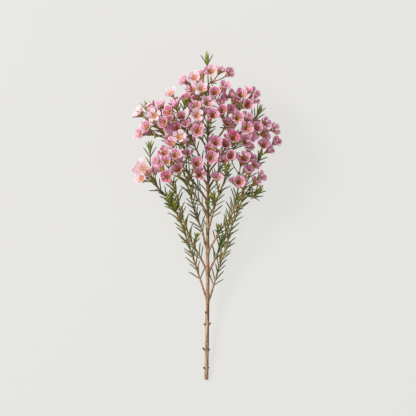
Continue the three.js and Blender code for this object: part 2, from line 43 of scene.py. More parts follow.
# How the stem grows, in millimetres from the cut end. toFrame turns them into the frame's metres.
stemLine = [
    (-1.5, 0), (-0.6, 60), (0.2, 121), (0, 163), (0.6, 223),
    (0.6, 254), (0, 285), (0.6, 316), (1.2, 353), (-0.5, 384),
]
stubs = [  # y, side, lift and length of the broken side twigs on the bare part
    (16, -0.9, 0.6, 5.6), (17, 0.9, 0.7, 4), (38, -0.8, 0.5, 8), (38.5, 0.9, 0.4, 5), (50, 0.15, 1, 3.2),
    (69, -0.8, 0.4, 6), (70, 0.9, 0.3, 6.2), (84.5, -0.6, 0.8, 5.2),
]
branchLines = [  # the side branches from the lowest fork up
    [(-3.5, 106, 17.5), (-9, 123, 19), (-16, 144, 21.5), (-24, 168, 24),
     (-33, 193, 27), (-41, 211, 29), (-52, 227, 31), (-61, 235, 32)],
    [(3.6, 103, 17), (7, 115, 18.5), (15, 141, 22), (23, 164, 26),
     (29, 187, 30), (37, 207, 33), (42, 220, 34), (47, 230, 34)],
    [(-3.4, 139, 22), (-10, 152, 26), (-19, 168, 31), (-26, 186, 36),
     (-33, 206, 40), (-38, 226, 43), (-43, 240, 45)],
    [(3.4, 136, 21.5), (10, 150, 18), (18, 168, 14), (24, 184, 12),
     (30, 204, 12), (35, 224, 13), (39, 242, 14)],
    [(2.6, 161, 27.2), (9, 172, 31), (15, 183, 36), (23, 192, 41), (29, 203, 44),
     (36, 214, 46), (42, 228, 44), (48, 242, 40), (54, 256, 38)],
    [(-3.3, 168, 25.4), (-6, 180, 22), (-10, 191, 19), (-15, 204, 15),
     (-19, 218, 12), (-22, 230, 10), (-27, 244, 10)],
    [(-1.5, 205, 33.2), (-6, 213, 39), (-13, 222, 45), (-20, 234, 50), (-27, 248, 55), (-32, 260, 60)],
    [(-2.4, 222, 34.6), (-11, 234, 37), (-19, 245, 40), (-28, 258, 44),
     (-36, 271, 48), (-44, 286, 52), (-52, 298, 54)],
    [(2.6, 190, 31.2), (6, 203, 37), (10, 217, 41), (15, 230, 42), (20, 243, 44), (24, 255, 50)],
    [(-2.2, 256, 39.6), (-9, 272, 44), (-15, 284, 47), (-20, 294, 49), (-28, 308, 51), (-34, 318, 52)],
    [(2.4, 255, 40.4), (9, 264, 45), (17, 276, 49), (26, 288, 53), (36, 299, 55), (45, 308, 55)],
    [(-1.9, 285, 44.3), (-6, 292, 49), (-10, 299, 54), (-13, 308, 60), (-15, 316, 65)],
    [(2.3, 286, 44), (11, 294, 47), (18, 303, 49), (25, 314, 50), (31, 325, 50)],
    [(-1.2, 240, 34.4), (-10, 254, 26), (-20, 270, 22), (-31, 286, 22), (-41, 300, 24)],
    [(2.4, 236, 33.7), (11, 251, 25), (21, 267, 21), (32, 282, 20), (43, 296, 22)],
]
mainStem = -1

# Each cluster: the wood it grows from, its blooms as x, y, z and turn to the light, their depth of colour,
# which runs paler on the left, towards the window lamp, and deeper on the right: in part the blooms' own
# colours, in part painted light and shade.
clusterTable = [
    (mainStem, [(3, 376, 62, 0.9), (15, 377, 50, 0), (25, 373, 60, 0)], [0.35, 0.4, 0.5]),
    (mainStem, [(-16, 368, 70, 0.6), (-28, 364, 60, 0.3), (-7, 372, 46, 0)], [0.15, 0.3, 0.45]),
    (mainStem, [(-7, 354, 80, 0.9), (-18, 353, 70, 0.2)], [0.1, 0.45]),
    (mainStem, [(9, 349, 84, 1), (20, 357, 70, 0.4), (28, 347, 58, 0.1)], [0.55, 0.6, 0.5]),
    (9, [(-44, 349, 60, 0.4), (-38, 339, 42, 0)], [0.1, 0.35]),
    (12, [(40, 347, 70, 0.8), (56, 349, 60, 0.1), (48, 335, 80, 0.4)], [0.6, 0.6, 0.55]),
    (mainStem, [(-13, 343, 44, 0), (-24, 343, 58, 0.2)], [0.7, 0.6]),
    (11, [(-1, 337, 88, 0.4), (-14, 332, 76, 0.3)], [0.25, 0.45]),
    (11, [(-13, 322, 90, 0.9), (-4, 326, 68, 0.2)], [0.1, 0.4]),
    (mainStem, [(6, 322, 93, 1)], [0.45]),
    (12, [(18, 327, 82, 0.9), (27, 328, 68, 0.3)], [0.65, 0.6]),
    (12, [(36, 319, 82, 0.5), (23, 313, 68, 0.1)], [0.6, 0.65]),
    (7, [(-56, 335, 62, 0.3), (-67, 334, 50, 0.1)], [0.3, 0.4]),
    (9, [(-40, 334, 72, 0.1), (-46, 326, 84, 0.4), (-52, 313, 78, 0.7)], [0.5, 0.85, 0.5]),
    (7, [(-64, 322, 74, 0.9), (-84, 324, 50, 0)], [0.1, 0.1]),
    (7, [(-70, 310, 58, 0.4), (-81, 300, 50, 0.7)], [0.5, 0.35]),
    (9, [(-37, 317, 60, 0.2), (-37, 307, 72, 0.5)], [0.75, 0.7]),
    (11, [(-24, 310, 80, 0.3), (-12, 303, 92, 0.9)], [0.5, 0.55]),
    (6, [(-34, 296, 88, 0.9), (-43, 288, 76, 0.3)], [0.12, 0.35]),
    (2, [(-52, 277, 70, 0.8), (-39, 274, 84, 0.5), (-60, 267, 60, 0.5)], [0.7, 0.4, 0.5]),
    (0, [(-79, 263, 46, 0.4), (-72, 253, 56, 0.7), (-81, 244, 40, 0)], [0.0, 0.05, 0.15]),
    (2, [(-49, 248, 62, 1), (-35, 257, 66, 0)], [0.85, 0.5]),
    (6, [(-24, 275, 62, 0.2), (-13, 264, 70, 0.4), (-10, 251, 58, 0.5)], [0.55, 0.6, 0.55]),
    (10, [(10, 289, 82, 0.4), (20, 287, 72, 0.5)], [0.6, 0.65]),
    (10, [(31, 295, 86, 0.7), (44, 291, 74, 0.6)], [1.0, 0.6]),
    (10, [(47, 307, 84, 0.5), (58, 307, 72, 0.5), (47, 320, 62, 0.2)], [0.65, 0.7, 0.6]),
    (10, [(69, 313, 58, 0.4), (80, 306, 46, 0)], [0.6, 0.45]),
    (4, [(67, 286, 60, 0.9), (82, 290, 46, 0.1)], [0.65, 0.5]),
    (8, [(28, 273, 78, 0.9), (20, 267, 64, 0.1)], [0.4, 0.5]),
    (4, [(44, 271, 66, 0.9), (50, 282, 54, 0.5)], [0.6, 0.55]),
    (mainStem, [(7, 281, 66, 0.3), (4, 271, 76, 0.6)], [0.6, 0.65]),
    (4, [(49, 255, 58, 0.8), (38, 242, 66, 0.9)], [0.55, 0.4]),
    (1, [(64, 248, 44, 0.3), (58, 241, 28, 0)], [0.4, 0.4]),
    (8, [(11, 246, 60, 0)], [0.45]),
    (mainStem, [(-12, 366, 30, -0.3), (-3, 352, 28, -0.5)], [0.5, 0.5]),
    (12, [(32, 340, 38, -0.3), (45, 335, 32, -0.4)], [0.6, 0.5]),
    (13, [(-23, 346, 32, -0.3), (-14, 338, 22, -0.5)], [0.4, 0.5]),
    (13, [(-59, 328, 30, -0.2), (-69, 318, 20, -0.3), (-57, 310, 8, -0.6)], [0.4, 0.3, 0.5]),
    (13, [(-46, 294, 5, -0.6), (-31, 306, 12, -0.6), (-22, 292, 5, -0.7)], [0.5, 0.4, 0.5]),
    (mainStem, [(-8, 318, 24, -0.5), (6, 324, 14, -0.6)], [0.5, 0.6]),
    (14, [(57, 314, 34, -0.2), (68, 302, 22, -0.3), (55, 298, 6, -0.6)], [0.6, 0.5, 0.5]),
    (14, [(36, 296, 5, -0.7), (28, 308, 10, -0.6)], [0.5, 0.6]),
    (5, [(-46, 268, 20, -0.2), (-56, 258, 10, -0.3), (-38, 256, 5, -0.6)], [0.5, 0.4, 0.5]),
    (3, [(42, 266, 20, -0.3), (30, 272, 7, -0.6), (56, 262, 16, -0.3)], [0.5, 0.6, 0.5]),
]

# Leafy shoots without flowers: the wood each grows from, its tip, how big its leaves are and how young.
shootTable = [
    (0, (-44, 219, 38), 1, 1.6), (0, (-70, 278, 44), 1, 1), (2, (-14, 173, 37), 0.62, 1),
    (4, (13, 184, 44), 0.6, 1), (8, (7, 219, 52), 1, 1.6), (8, (22, 252, 62), 1, 1.4),
    (1, (57, 226, 38), 1, 0.9), (7, (-72, 326, 36), 1, 0.9), (10, (60, 322, 46), 1, 0.9),
    (9, (-28, 334, 74), 0.8, 0.8), (12, (44, 352, 50), 0.8, 0.8), (4, (62, 268, 46), 1, 0.9),
    (0, (-40, 209, 40), 1, 1.6), (0, (-47, 216, 44), 0.8, 1.6), (3, (17, 166, 22), 0.9, 0.4),
]

growth = {
    "cutEndRadius": 2.5, "stemTipRadius": 0.65, "stemRise": 0.14, "footprintCentre": (-0.74, 199.69),
    "branchRadius": 1.15, "branchTipRadius": 0.7, "twigRadius": 0.8, "twigTipRadius": 0.6,
    "pedicelRadius": 0.55, "joinGap": 0.3, "widestFork": 48, "forkStep": 3, "twigBend": 0.4,
    "umbelReach": 17, "twigRoot": 4, "calyxDepth": 6, "facing": (0.6, 0.5, 0.5), "outwardDrop": 45,
    "outwardFrom": 100, "stemBall": 1.4, "bloomBall": 8.1, "bloomClearance": 15.4, "sisterClearance": 12.6,
    "settleRounds": 80, "bloomPush": 0.35, "woodPush": 0.5, "pushAlong": (0.5, 0.5, 1), "lowestBloom": 4.5,
    "needleNodeGap": 5.4,
}


def toFrame(points):
    x, y = growth["footprintCentre"]
    return (np.asarray(points, float) - (x, y, 0)) / 1000


# How numbers are drawn, and where the seeds of each kind of draw start.
stream = {"spread": 7919, "first": 17, "factor": 1664525, "step": 1013904223, "range": 4294967296}
seeds = {"growth": 1, "tucked": 4000, "needles": 500, "sway": 900, "topTuft": 499, "blooms": 2000}


def makeDraw(seed):  # a repeatable stream of numbers from 0 to 1
    state = seed * stream["spread"] + stream["first"]

    def draw():
        nonlocal state
        state = (state * stream["factor"] + stream["step"]) % stream["range"]
        return state / stream["range"]

    return draw


def lengthOf(vectors):
    return np.sqrt((vectors * vectors).sum(-1))


def unit(vectors):
    return vectors / lengthOf(vectors)[..., None]


def across(axis, angle=0.0):  # a direction at right angles to the axis, turned about it by the angle
    helper = np.array((0, 0, 1.0)) if abs(axis[2]) < 0.8 else np.array((0, 1.0, 0))
    side = unit(np.cross(helper, axis))
    return side * math.cos(angle) + np.cross(axis, side) * math.sin(angle)


def leaning(axis, way, angle):  # the axis tilted towards a direction that is at right angles to it
    return axis * math.cos(angle) + way * math.sin(angle)


def walk(line, step):  # places every few millimetres on a line, with the line's direction there
    places, directions = [], []
    for start, end in zip(line[:-1], line[1:]):
        length = lengthOf(end - start)
        count = max(math.floor(length / step + 0.5), 1)
        places += [start + (end - start) * (k / count) for k in range(count)]
        directions += [(end - start) / length] * count
    return np.array(places), np.array(directions)


def stemPointAt(axis, y):
    after = max(next(i for i, point in enumerate(axis) if point[1] > y), 1)
    start, end = axis[after - 1], axis[after]
    return start + (end - start) * ((y - start[1]) / (end[1] - start[1]))


def forkPoint(stops, goal):  # the nearest place from which a twig to the goal forks off at a narrow angle
    places, directions = stops
    widest = math.cos(math.radians(growth["widestFork"]))
    gap = goal - places
    distance = lengthOf(gap)
    cosFork = (gap / distance[:, None] * directions).sum(1)
    best = int((distance + np.where(cosFork < widest, 1000 * (widest - cosFork), 0)).argmin())
    return places[best], directions[best]


def twigLine(fork, direction, end):
    bend = fork + direction * (lengthOf(end - fork) * growth["twigBend"])
    low, high = fork + (bend - fork) * 0.5, bend + (end - bend) * 0.5
    return np.array((fork, low + (high - low) * 0.5, end))


def outward(axis, centre):  # away from a place a little lower on the stem
    return unit(centre - stemPointAt(axis, max(centre[1] - growth["outwardDrop"], growth["outwardFrom"])))


def placeFoot(cluster, centres, axis, stops):
    middle = centres[cluster["rows"]].mean(0)
    fork, direction = forkPoint(stops[cluster["from"]], middle)
    distance = lengthOf(middle - fork)
    cluster["foot"] = fork + unit(middle - fork) * max(distance - growth["umbelReach"], growth["twigRoot"])
    twig = twigLine(fork, direction, cluster["foot"])
    twig[2] = cluster["foot"] - unit(twig[2] - twig[1]) * (growth["pedicelRadius"] + growth["joinGap"])
    cluster["fork"], cluster["twig"] = fork, twig
    cluster["faces"], cluster["bases"] = [], []
    fromFoot, fromStem, anyWay = growth["facing"]
    for row, sway, light in zip(cluster["rows"], cluster["sways"], cluster["lights"]):
        centre = centres[row]
        face = unit(centre - cluster["foot"]) * fromFoot + outward(axis, centre) * fromStem + sway * anyWay
        face = unit(face + (0, 0, light))
        cluster["faces"].append(face)
        cluster["bases"].append(centre - face * growth["calyxDepth"])


def woodSegments(clusters, axis, branches):
    rows = []

    def addLine(line, radius, owner):
        rows.extend((*start, *end, radius, owner) for start, end in zip(line[:-1], line[1:]))

    addLine(axis, growth["stemBall"], -1)
    for line in branches:
        addLine(line, growth["branchRadius"], -1)
    for index, cluster in enumerate(clusters):
        addLine(cluster["twig"], growth["twigRadius"], index)
        for base in cluster["bases"]:
            addLine([cluster["foot"], base], growth["pedicelRadius"], index)
    return np.array(rows)


def fromSticks(centres, sticks):  # from the nearest place on every stick to every centre
    start, along = sticks[:, 0:3], sticks[:, 3:6] - sticks[:, 0:3]
    share = ((centres[:, None] - start) * along).sum(-1) / (along * along).sum(-1)
    return centres[:, None] - (start + along * np.clip(share, 0, 1)[..., None])


def settleBlooms(clusters, centres, axis, branches, stops):
    owner = np.zeros(len(centres), int)
    for index, cluster in enumerate(clusters):
        owner[cluster["rows"]] = index
    clearance = np.where(owner[:, None] == owner[None], growth["sisterClearance"], growth["bloomClearance"])
    for _ in range(growth["settleRounds"]):
        for cluster in clusters:
            placeFoot(cluster, centres, axis, stops)
        sticks = woodSegments(clusters, axis, branches)
        apart = centres[:, None] - centres[None]
        distance = lengthOf(apart)
        np.fill_diagonal(distance, 1e9)
        lack = np.maximum(clearance - distance, 0)
        push = (apart / distance[..., None] * (lack * growth["bloomPush"])[..., None]).sum(1)
        apart = fromSticks(centres, sticks)
        distance = lengthOf(apart)
        lack = np.maximum(growth["bloomBall"] + sticks[:, 6] + growth["joinGap"] - distance, 0)
        lack[owner[:, None] == sticks[:, 7]] = 0
        away = apart / np.maximum(distance, 1e-9)[..., None]
        push += (away * (lack * growth["woodPush"])[..., None]).sum(1)
        centres += push * growth["pushAlong"]
        centres[:, 2] = np.maximum(centres[:, 2], growth["lowestBloom"])
    for cluster in clusters:
        placeFoot(cluster, centres, axis, stops)


def growStem():
    axis = np.array([(x, y, growth["cutEndRadius"] + y * growth["stemRise"]) for x, y in stemLine])
    branches = [np.array(line, float) for line in branchLines]
    stops = {owner: walk(line, growth["forkStep"]) for owner, line in enumerate([*branches, axis])}
    stops[mainStem] = stops[len(branches)]
    clusters, centres = [], []
    for index, (source, blooms, tones) in enumerate(clusterTable):
        draw = makeDraw(seeds["growth"] + index)
        cluster = {"from": source, "tones": tones, "rows": [], "sways": [], "turns": [], "lights": []}
        for x, y, z, light in blooms:
            cluster["rows"].append(len(centres))
            centres.append((x, y, z))
            cluster["sways"].append(np.array((draw() - 0.5, draw() - 0.5, draw() - 0.5)))
            cluster["turns"].append(draw() * 2 * math.pi)
            cluster["lights"].append(light)
        clusters.append(cluster)
    centres = np.array(centres, float)
    settleBlooms(clusters, centres, axis, branches, stops)
    shoots = []
    for source, tip, stature, young in shootTable:
        fork, direction = forkPoint(stops[source], np.array(tip, float))
        line = twigLine(fork, direction, np.array(tip, float))
        shoots.append({"from": source, "line": line, "stature": stature, "young": young})
    return axis, branches, clusters, centres, shoots


axis, branches, clusters, centres, shoots = growStem()
print("growth settled, blooms:", len(centres))

# More blooms on the same umbels, most of them half open: some listed, the rest tucked in behind others.
halfOpen = {
    "tries": 60, "apart": 10.0, "overlap": 7.0, "under": 6.0, "fromWood": 5.5, "lowest": 7, "highest": 92,
    "size": 0.9, "leastOpen": 30, "openSpread": 26, "fromStalk": 6.5, "lean": (25, 60), "reach": (12.5, 4),
    "lifts": (0, 4, -4, 8, -8, 12, -12, 16, -16), "facing": (0.9, 0.5, 0.2),
}
# The palest of these blooms lie on the far left, towards the window lamp: in part their own colour, in part
# painted light.
addedBlooms = [  # cluster, place and depth of colour; one below zero is fully open and the palest
    (20, (-85, 256, 54), 0.05), (20, (-64, 254, 48), 0.4), (20, (-77, 258, 68), -1), (20, (-80, 246, 60), -1),
    (14, (-82, 326, 62), -1), (10, (16, 336, 70), 0.6), (5, (49, 352, 54), 0.6),
    (5, (56, 341, 68), 0.6), (16, (-31, 320, 76), 0.6), (22, (-33, 266, 56), 0.55), (25, (52, 297, 64), 0.65),
    (26, (70, 297, 52), 0.55), (29, (53, 270, 56), 0.6), (31, (58, 262, 50), 0.5), (27, (74, 280, 52), 0.6),
    (19, (-50, 266, 76), 0.5), (18, (-45, 297, 62), 0.4), (3, (18, 343, 66), 0.5), (1, (-21, 358, 46), 0.3),
]


def roomAt(centre, number, taken, sticks):
    fromWood = lengthOf(fromSticks(centre[None], sticks)[0])[sticks[:, 7] != number].min()
    apart = lengthOf(np.array(taken) - centre).min()
    inside = halfOpen["lowest"] <= centre[2] <= halfOpen["highest"]
    return inside and apart >= halfOpen["apart"] and fromWood >= halfOpen["fromWood"]


def keepBloom(cluster, centre, tone, turn, taken):
    fromFoot, fromStem, rise = halfOpen["facing"]
    face = unit(unit(centre - cluster["foot"]) * fromFoot + outward(axis, centre) * fromStem + (0, 0, rise))
    bloom = {"centre": centre, "face": face, "tone": max(tone, 0), "turn": turn, "half": tone >= 0}
    cluster["extras"].append(bloom)
    taken.append(centre)


def tuckInBehind(number, cluster, taken, sticks):
    draw = makeDraw(seeds["tucked"] + number)
    middle = unit(centres[cluster["rows"]].mean(0) - cluster["foot"])
    (leastLean, moreLean), (leastReach, moreReach) = halfOpen["lean"], halfOpen["reach"]
    for _ in range(halfOpen["tries"]):
        spin, lean = draw() * 2 * math.pi, math.radians(leastLean + moreLean * draw())
        reach = leastReach + moreReach * draw()
        centre = cluster["foot"] + leaning(middle, across(middle, spin), lean) * reach
        places = np.array(taken)
        near = lengthOf((places - centre)[:, :2]) < halfOpen["overlap"]
        hidden = near.any() and (places[near, 2] > centre[2] + halfOpen["under"]).all()
        stalk = np.linspace(0.2, 0.75, 5)[:, None] * (centre - cluster["foot"]) + cluster["foot"]
        crossed = lengthOf(stalk[:, None] - places[None]).min() < halfOpen["fromStalk"]
        if hidden and not crossed and roomAt(centre, number, taken, sticks):
            tone = 0.6 if max(cluster["tones"]) > 0.9 else sum(cluster["tones"]) / len(cluster["tones"])
            keepBloom(cluster, centre, tone, draw() * 2 * math.pi, taken)
            return


def addHalfOpen():
    taken = list(centres)
    sticks = woodSegments(clusters, axis, branches)
    for cluster in clusters:
        cluster["extras"] = []
    for number, place, tone in addedBlooms:
        for lift in halfOpen["lifts"]:
            centre = np.array(place, float) + (0, 0, lift)
            if roomAt(centre, number, taken, sticks):
                keepBloom(clusters[number], centre, tone, place[0] * 0.7, taken)
                break
        else:
            print("no room at", place)
    for number, cluster in enumerate(clusters):
        tuckInBehind(number, cluster, taken, sticks)
    print("added blooms:", len(taken) - len(centres))


addHalfOpen()

# Blooms at the edge of the head that turn further up to the light: cluster, bloom and how far.
turnedUp = [(26, 1, 0.7), (27, 1, 0.7), (0, 2, 0.5)]
for number, index, rise in turnedUp:
    one = clusters[number]
    one["faces"][index] = unit(one["faces"][index] + (0, 0, rise))
    one["bases"][index] = centres[one["rows"][index]] - one["faces"][index] * growth["calyxDepth"]


# Small helpers for the node trees. New nodes go to the tree that was started last.
working = {"tree": None}
socketKinds = {int: "Int", float: "Float", tuple: "Vector", type(None): "Material"}


class Field:  # what a node puts out, ready for sums and products with numbers and other fields
    def __init__(self, socket):
        self.socket = socket

    def __add__(self, other):
        return calc("ADD", self, other)

    def __sub__(self, other):
        return calc("SUBTRACT", self, other)

    def __rsub__(self, other):
        return calc("SUBTRACT", other, self)

    def __mul__(self, other):
        return calc("MULTIPLY", self, other)

    __radd__, __rmul__ = __add__, __mul__


def fill(socket, value):
    if isinstance(value, Field):
        working["tree"].links.new(value.socket, socket)
    else:
        socket.default_value = value


def addNode(kind, feed=None, **settings):
    node = working["tree"].nodes.new(kind)
    for key, value in settings.items():
        setattr(node, key, value)
    for key, value in (feed or {}).items():
        fill(node.inputs[key], value)
    return node


def add(kind, feed=None, out=0, **settings):
    return Field(addNode(kind, feed, **settings).outputs[out])


def geo(kind, feed=None, out=0, **settings):
    return add("GeometryNode" + kind, feed, out, **settings)


def calc(operation, first, second=0.0, **settings):
    return add("ShaderNodeMath", {0: first, 1: second}, operation=operation, **settings)


def calcVector(operation, first, second=(0, 0, 0), out=0):
    key = 3 if operation == "SCALE" else 1
    return add("ShaderNodeVectorMath", {0: first, key: second}, out, operation=operation)


def joined(x=0.0, y=0.0, z=0.0):
    return add("ShaderNodeCombineXYZ", {0: x, 1: y, 2: z})


def split(vector):
    return [Field(socket) for socket in addNode("ShaderNodeSeparateXYZ", {0: vector}).outputs]


def spread(value, low, high, least=0.0, most=1.0, way="LINEAR"):
    feed = {"Value": value, "From Min": low, "From Max": high, "To Min": least, "To Max": most}
    return add("ShaderNodeMapRange", feed, interpolation_type=way)


def noise(vector, scale, detail, roughness=0.5, seed=None, out=0):
    feed = {"Vector": vector, "Scale": scale, "Detail": detail, "Roughness": roughness}
    if seed is None:
        return add("ShaderNodeTexNoise", feed, out)
    return add("ShaderNodeTexNoise", {**feed, "W": seed}, out, noise_dimensions="4D")


def startTree(name, inputs, outputs=()):  # a shader group where it names outputs, otherwise a tree of shapes
    kind = "ShaderNodeTree" if outputs else "GeometryNodeTree"
    tree = working["tree"] = bpy.data.node_groups.new(name, kind)

    def newSocket(label, way, sort):
        return tree.interface.new_socket(name=label, in_out=way, socket_type="NodeSocket" + sort)

    if not outputs:
        newSocket("Geometry", "INPUT", "Geometry")
        newSocket("Geometry", "OUTPUT", "Geometry")
    for label, value in inputs.items():
        socket = newSocket(label, "INPUT", socketKinds[type(value)])
        if value is not None:
            socket.default_value = value
    for label in outputs:
        newSocket(label, "OUTPUT", "Float")
    return {socket.name: Field(socket) for socket in addNode("NodeGroupInput").outputs}


def endTree(*values):
    addNode("NodeGroupOutput", dict(enumerate(values)))
    return working["tree"]


def readField(name, kind="FLOAT"):
    return geo("InputNamedAttribute", {"Name": name}, "Attribute", data_type=kind)


def readPlace(name):
    return readField(name, "FLOAT_VECTOR")


def keepField(shape, name, value, kind="FLOAT", domain="POINT"):
    feed = {"Geometry": shape, "Name": name, "Value": value}
    return geo("StoreNamedAttribute", feed, data_type=kind, domain=domain)


def herePlace():
    return geo("InputPosition")


def moved(shape, **feed):
    return geo("SetPosition", {"Geometry": shape, **feed})


def curveThrough(factor, points):
    node = addNode("ShaderNodeFloatCurve", {"Value": factor})
    curve = node.mapping.curves[0]
    curve.points[0].location, curve.points[-1].location = points[0], points[-1]
    for point in points[1:-1]:
        curve.points.new(*point)
    for point in curve.points:
        point.handle_type = "VECTOR"
    node.mapping.update()
    return Field(node.outputs[0])


def placed(points, shape, face, side, scale=(1, 1, 1)):  # the shape on each point, z along face and x to side
    turn = add("FunctionNodeAxesToRotation", {0: face, 1: side}, primary_axis="Z", secondary_axis="X")
    feed = {"Points": points, "Instance": shape, "Rotation": turn, "Scale": scale}
    return geo("RealizeInstances", {"Geometry": geo("InstanceOnPoints", feed)})


def finishShape(shape, least, material):  # nothing reaches below the surface that the stem lies on
    x, y, z = split(herePlace())
    shape = moved(shape, Position=joined(x, y, calc("MAXIMUM", z, least)))
    shape = geo("SetShadeSmooth", {"Geometry": shape})
    shape = geo("RealizeInstances", {"Geometry": shape})
    return geo("SetMaterial", {"Geometry": shape, "Material": material})


def pointMesh(name, points, fields, edges=()):
    mesh = bpy.data.meshes.new(name)
    mesh.from_pydata([tuple(point) for point in toFrame(points)], list(edges), [])
    for key, values in fields.items():
        values = np.asarray(values, np.float32)
        kind, slot = ("FLOAT_VECTOR", "vector") if values.ndim == 2 else ("FLOAT", "value")
        mesh.attributes.new(key, kind, "POINT").data.foreach_set(slot, values.ravel())
    return mesh


def grown(name, tree, mesh, sizes):  # what a tree makes of a mesh, as a plain object without modifiers
    piece = bpy.data.objects.new(name, mesh)
    bpy.context.scene.collection.objects.link(piece)
    modifier = piece.modifiers.new("grow", "NODES")
    modifier.node_group = tree
    for item in tree.interface.items_tree:
        if item.in_out == "INPUT" and item.name in sizes:
            modifier[item.identifier] = sizes[item.name]
    bpy.context.view_layer.update()
    depsgraph = bpy.context.evaluated_depsgraph_get()
    result = bpy.data.meshes.new_from_object(
        piece.evaluated_get(depsgraph), preserve_all_data_layers=True, depsgraph=depsgraph)
    piece.modifiers.remove(modifier)
    piece.data = result
    result.name = name
    return piece


def joinPieces(name, pieces):
    with bpy.context.temp_override(active_object=pieces[0], selected_editable_objects=pieces):
        bpy.ops.object.join()
    pieces[0].name = pieces[0].data.name = name
    return pieces[0]


def colour(*levels):  # red, green and blue as a screen shows them, 0 to 255, made linear
    return tuple(((level / 255 + 0.055) / 1.055) ** 2.4 for level in levels) + (1.0,)


# Shared effects as shader groups: mottled skin, drawn-out fibres and small oil dots.
def maskOf(value, contrast):
    return calc("ADD", (value - 0.5) * contrast, 0.5, use_clamp=True)


def makeMottleGroup():
    inputs = {"Vector": (0, 0, 0), "Scale": 300.0, "Contrast": 1.0}
    given = startTree("mottledSkin", inputs, ("Mask", "Height"))
    broad = noise(given["Vector"], given["Scale"], 3.0)
    fine = noise(given["Vector"], given["Scale"] * 6.0, 2.0)
    return endTree(maskOf(broad * 0.7 + fine * 0.3, given["Contrast"] * 2.4), fine)


def makeFibreGroup():
    inputs = {"Vector": (0, 0, 0), "Across": 3.0, "Along": 120.0, "Contrast": 1.0}
    given = startTree("drawnFibres", inputs, ("Mask", "Height"))
    x, y, z = split(given["Vector"])
    place = joined(x * given["Across"], y * given["Across"], z * given["Along"])
    both = noise(place, 1.0, 4.0, 0.65) * 0.6 + noise(place, 3.7, 3.0, 0.6) * 0.4
    return endTree(maskOf(both, given["Contrast"] * 3.0), both)


def makeDotGroup():
    given = startTree("oilDots", {"Vector": (0, 0, 0), "Scale": 2500.0, "Size": 0.28}, ("Mask",))
    distance = add("ShaderNodeTexVoronoi", {"Vector": given["Vector"], "Scale": given["Scale"]}, "Distance")
    return endTree(spread(distance, given["Size"] * 0.6, given["Size"], 1.0, 0.0))


mottleGroup, fibreGroup, dotGroup = makeMottleGroup(), makeFibreGroup(), makeDotGroup()


def useGroup(group, feed):
    return [Field(socket) for socket in addNode("ShaderNodeGroup", feed, node_tree=group).outputs]


def objectPlace():
    return add("ShaderNodeTexCoord", out="Object")


def mottle(scale, contrast=1.0):
    return useGroup(mottleGroup, {"Vector": objectPlace(), "Scale": scale, "Contrast": contrast})


def oilDots(scale, size):
    return useGroup(dotGroup, {"Vector": objectPlace(), "Scale": scale, "Size": size})[0]


def readShade(name, out="Fac"):
    return add("ShaderNodeAttribute", out=out, attribute_name=name, attribute_type="GEOMETRY")


def blend(share, first, second):
    return add("ShaderNodeMix", {0: share, 6: first, 7: second}, 2, data_type="RGBA")


def layered(skin, *layers):  # each layer is how much it covers and its colour
    for share, over in layers:
        skin = blend(share, skin, over)
    return skin


def startMaterial(name, roughness, specular):
    material = bpy.data.materials.new(name)
    material.use_nodes = True
    working["tree"] = material.node_tree
    sockets = material.node_tree.nodes["Principled BSDF"].inputs
    sockets["Roughness"].default_value = roughness
    sockets["Specular IOR Level"].default_value = specular
    return material, sockets


def finishMaterial(sockets, skin, height, bump, mask=None, gloss=None):
    fill(sockets["Base Color"], skin)
    if mask:  # roughness from the first to the second value of gloss
        fill(sockets["Roughness"], spread(mask, 0.0, 1.0, *gloss))
    strength, distance = bump  # the distance is in metres
    feed = {"Height": height, "Strength": strength, "Distance": distance}
    fill(sockets["Normal"], add("ShaderNodeBump", feed))


# In each finish, shine is a plain roughness and how much is mirrored, gloss the roughness at either end of a
# mask, and bump its strength and its depth in metres. What ends in From, To or Tone is the stretch over which
# a mask runs, with what it gives at either end where that isn't 0 and 1.

# Bark: tan and light on old wood, redder on the branches, greener on the youngest twigs, with painted shade
# on the side of every stem and twig that faces away from the window lamp.
bark = {
    "oldLight": colour(236, 202, 174), "oldDark": colour(94, 50, 26), "youngLight": colour(222, 174, 114),
    "youngDark": colour(134, 92, 46), "green": colour(178, 146, 72), "scar": colour(76, 52, 38),
    # Painted shade: the colour, stretch and fibre share below darken the side of the wood that faces away
    # from the window lamp.
    "paintedShade": colour(102, 52, 26), "fibres": {"Across": 2.6, "Along": 60.0, "Contrast": 1.7},
    "flakes": (160.0, 1.2), "shine": (0.72, 0.2), "gloss": (0.84, 0.62), "bump": (0.5, 0.0006),
    "oldFrom": (0.35, 0.9), "greenTo": (0.05, 0.5, 0.75, 0.0), "greenFlakes": (0.2, 0.8, 0.5, 1.0),
    "flakeShare": 0.2, "paintedShadeFrom": (-0.75, 0.3, 0.0, 0.78), "paintedShadeFibre": -0.7,
    "depth": 0.00022, "ridgeRun": 55.0,
    "stemSides": 24, "branchSides": 12, "twigSides": 8, "pedicelSides": 7, "pedicelDepth": 0.00004,
}


def makeBark():
    material, sockets = startMaterial("waxflowerBark", *bark["shine"])
    x, y, _ = split(readShade("barkRound", "Vector"))
    place = joined(x, y, readShade("woodRun"))
    fibre, grain = useGroup(fibreGroup, {"Vector": place, **bark["fibres"]})
    flake = mottle(*bark["flakes"])[0]
    age = readShade("woodAge")
    old = blend(fibre, bark["oldDark"], bark["oldLight"])
    young = blend(fibre, bark["youngDark"], bark["youngLight"])
    normal = split(add("ShaderNodeTexCoord", out="Normal"))
    paintedShade = normal[0] + fibre * bark["paintedShadeFibre"]  # painted shade: darker where the surface faces +x, away from the window lamp
    skin = layered(
        blend(spread(age, *bark["oldFrom"]), young, old),
        (spread(age, *bark["greenTo"]) * spread(flake, *bark["greenFlakes"]), bark["green"]),
        (flake * bark["flakeShare"], bark["scar"]),
        (spread(paintedShade, *bark["paintedShadeFrom"]), bark["paintedShade"]),
        (readShade("woodScar"), bark["scar"]))
    finishMaterial(sockets, skin, grain, bark["bump"], fibre, bark["gloss"])
    return material


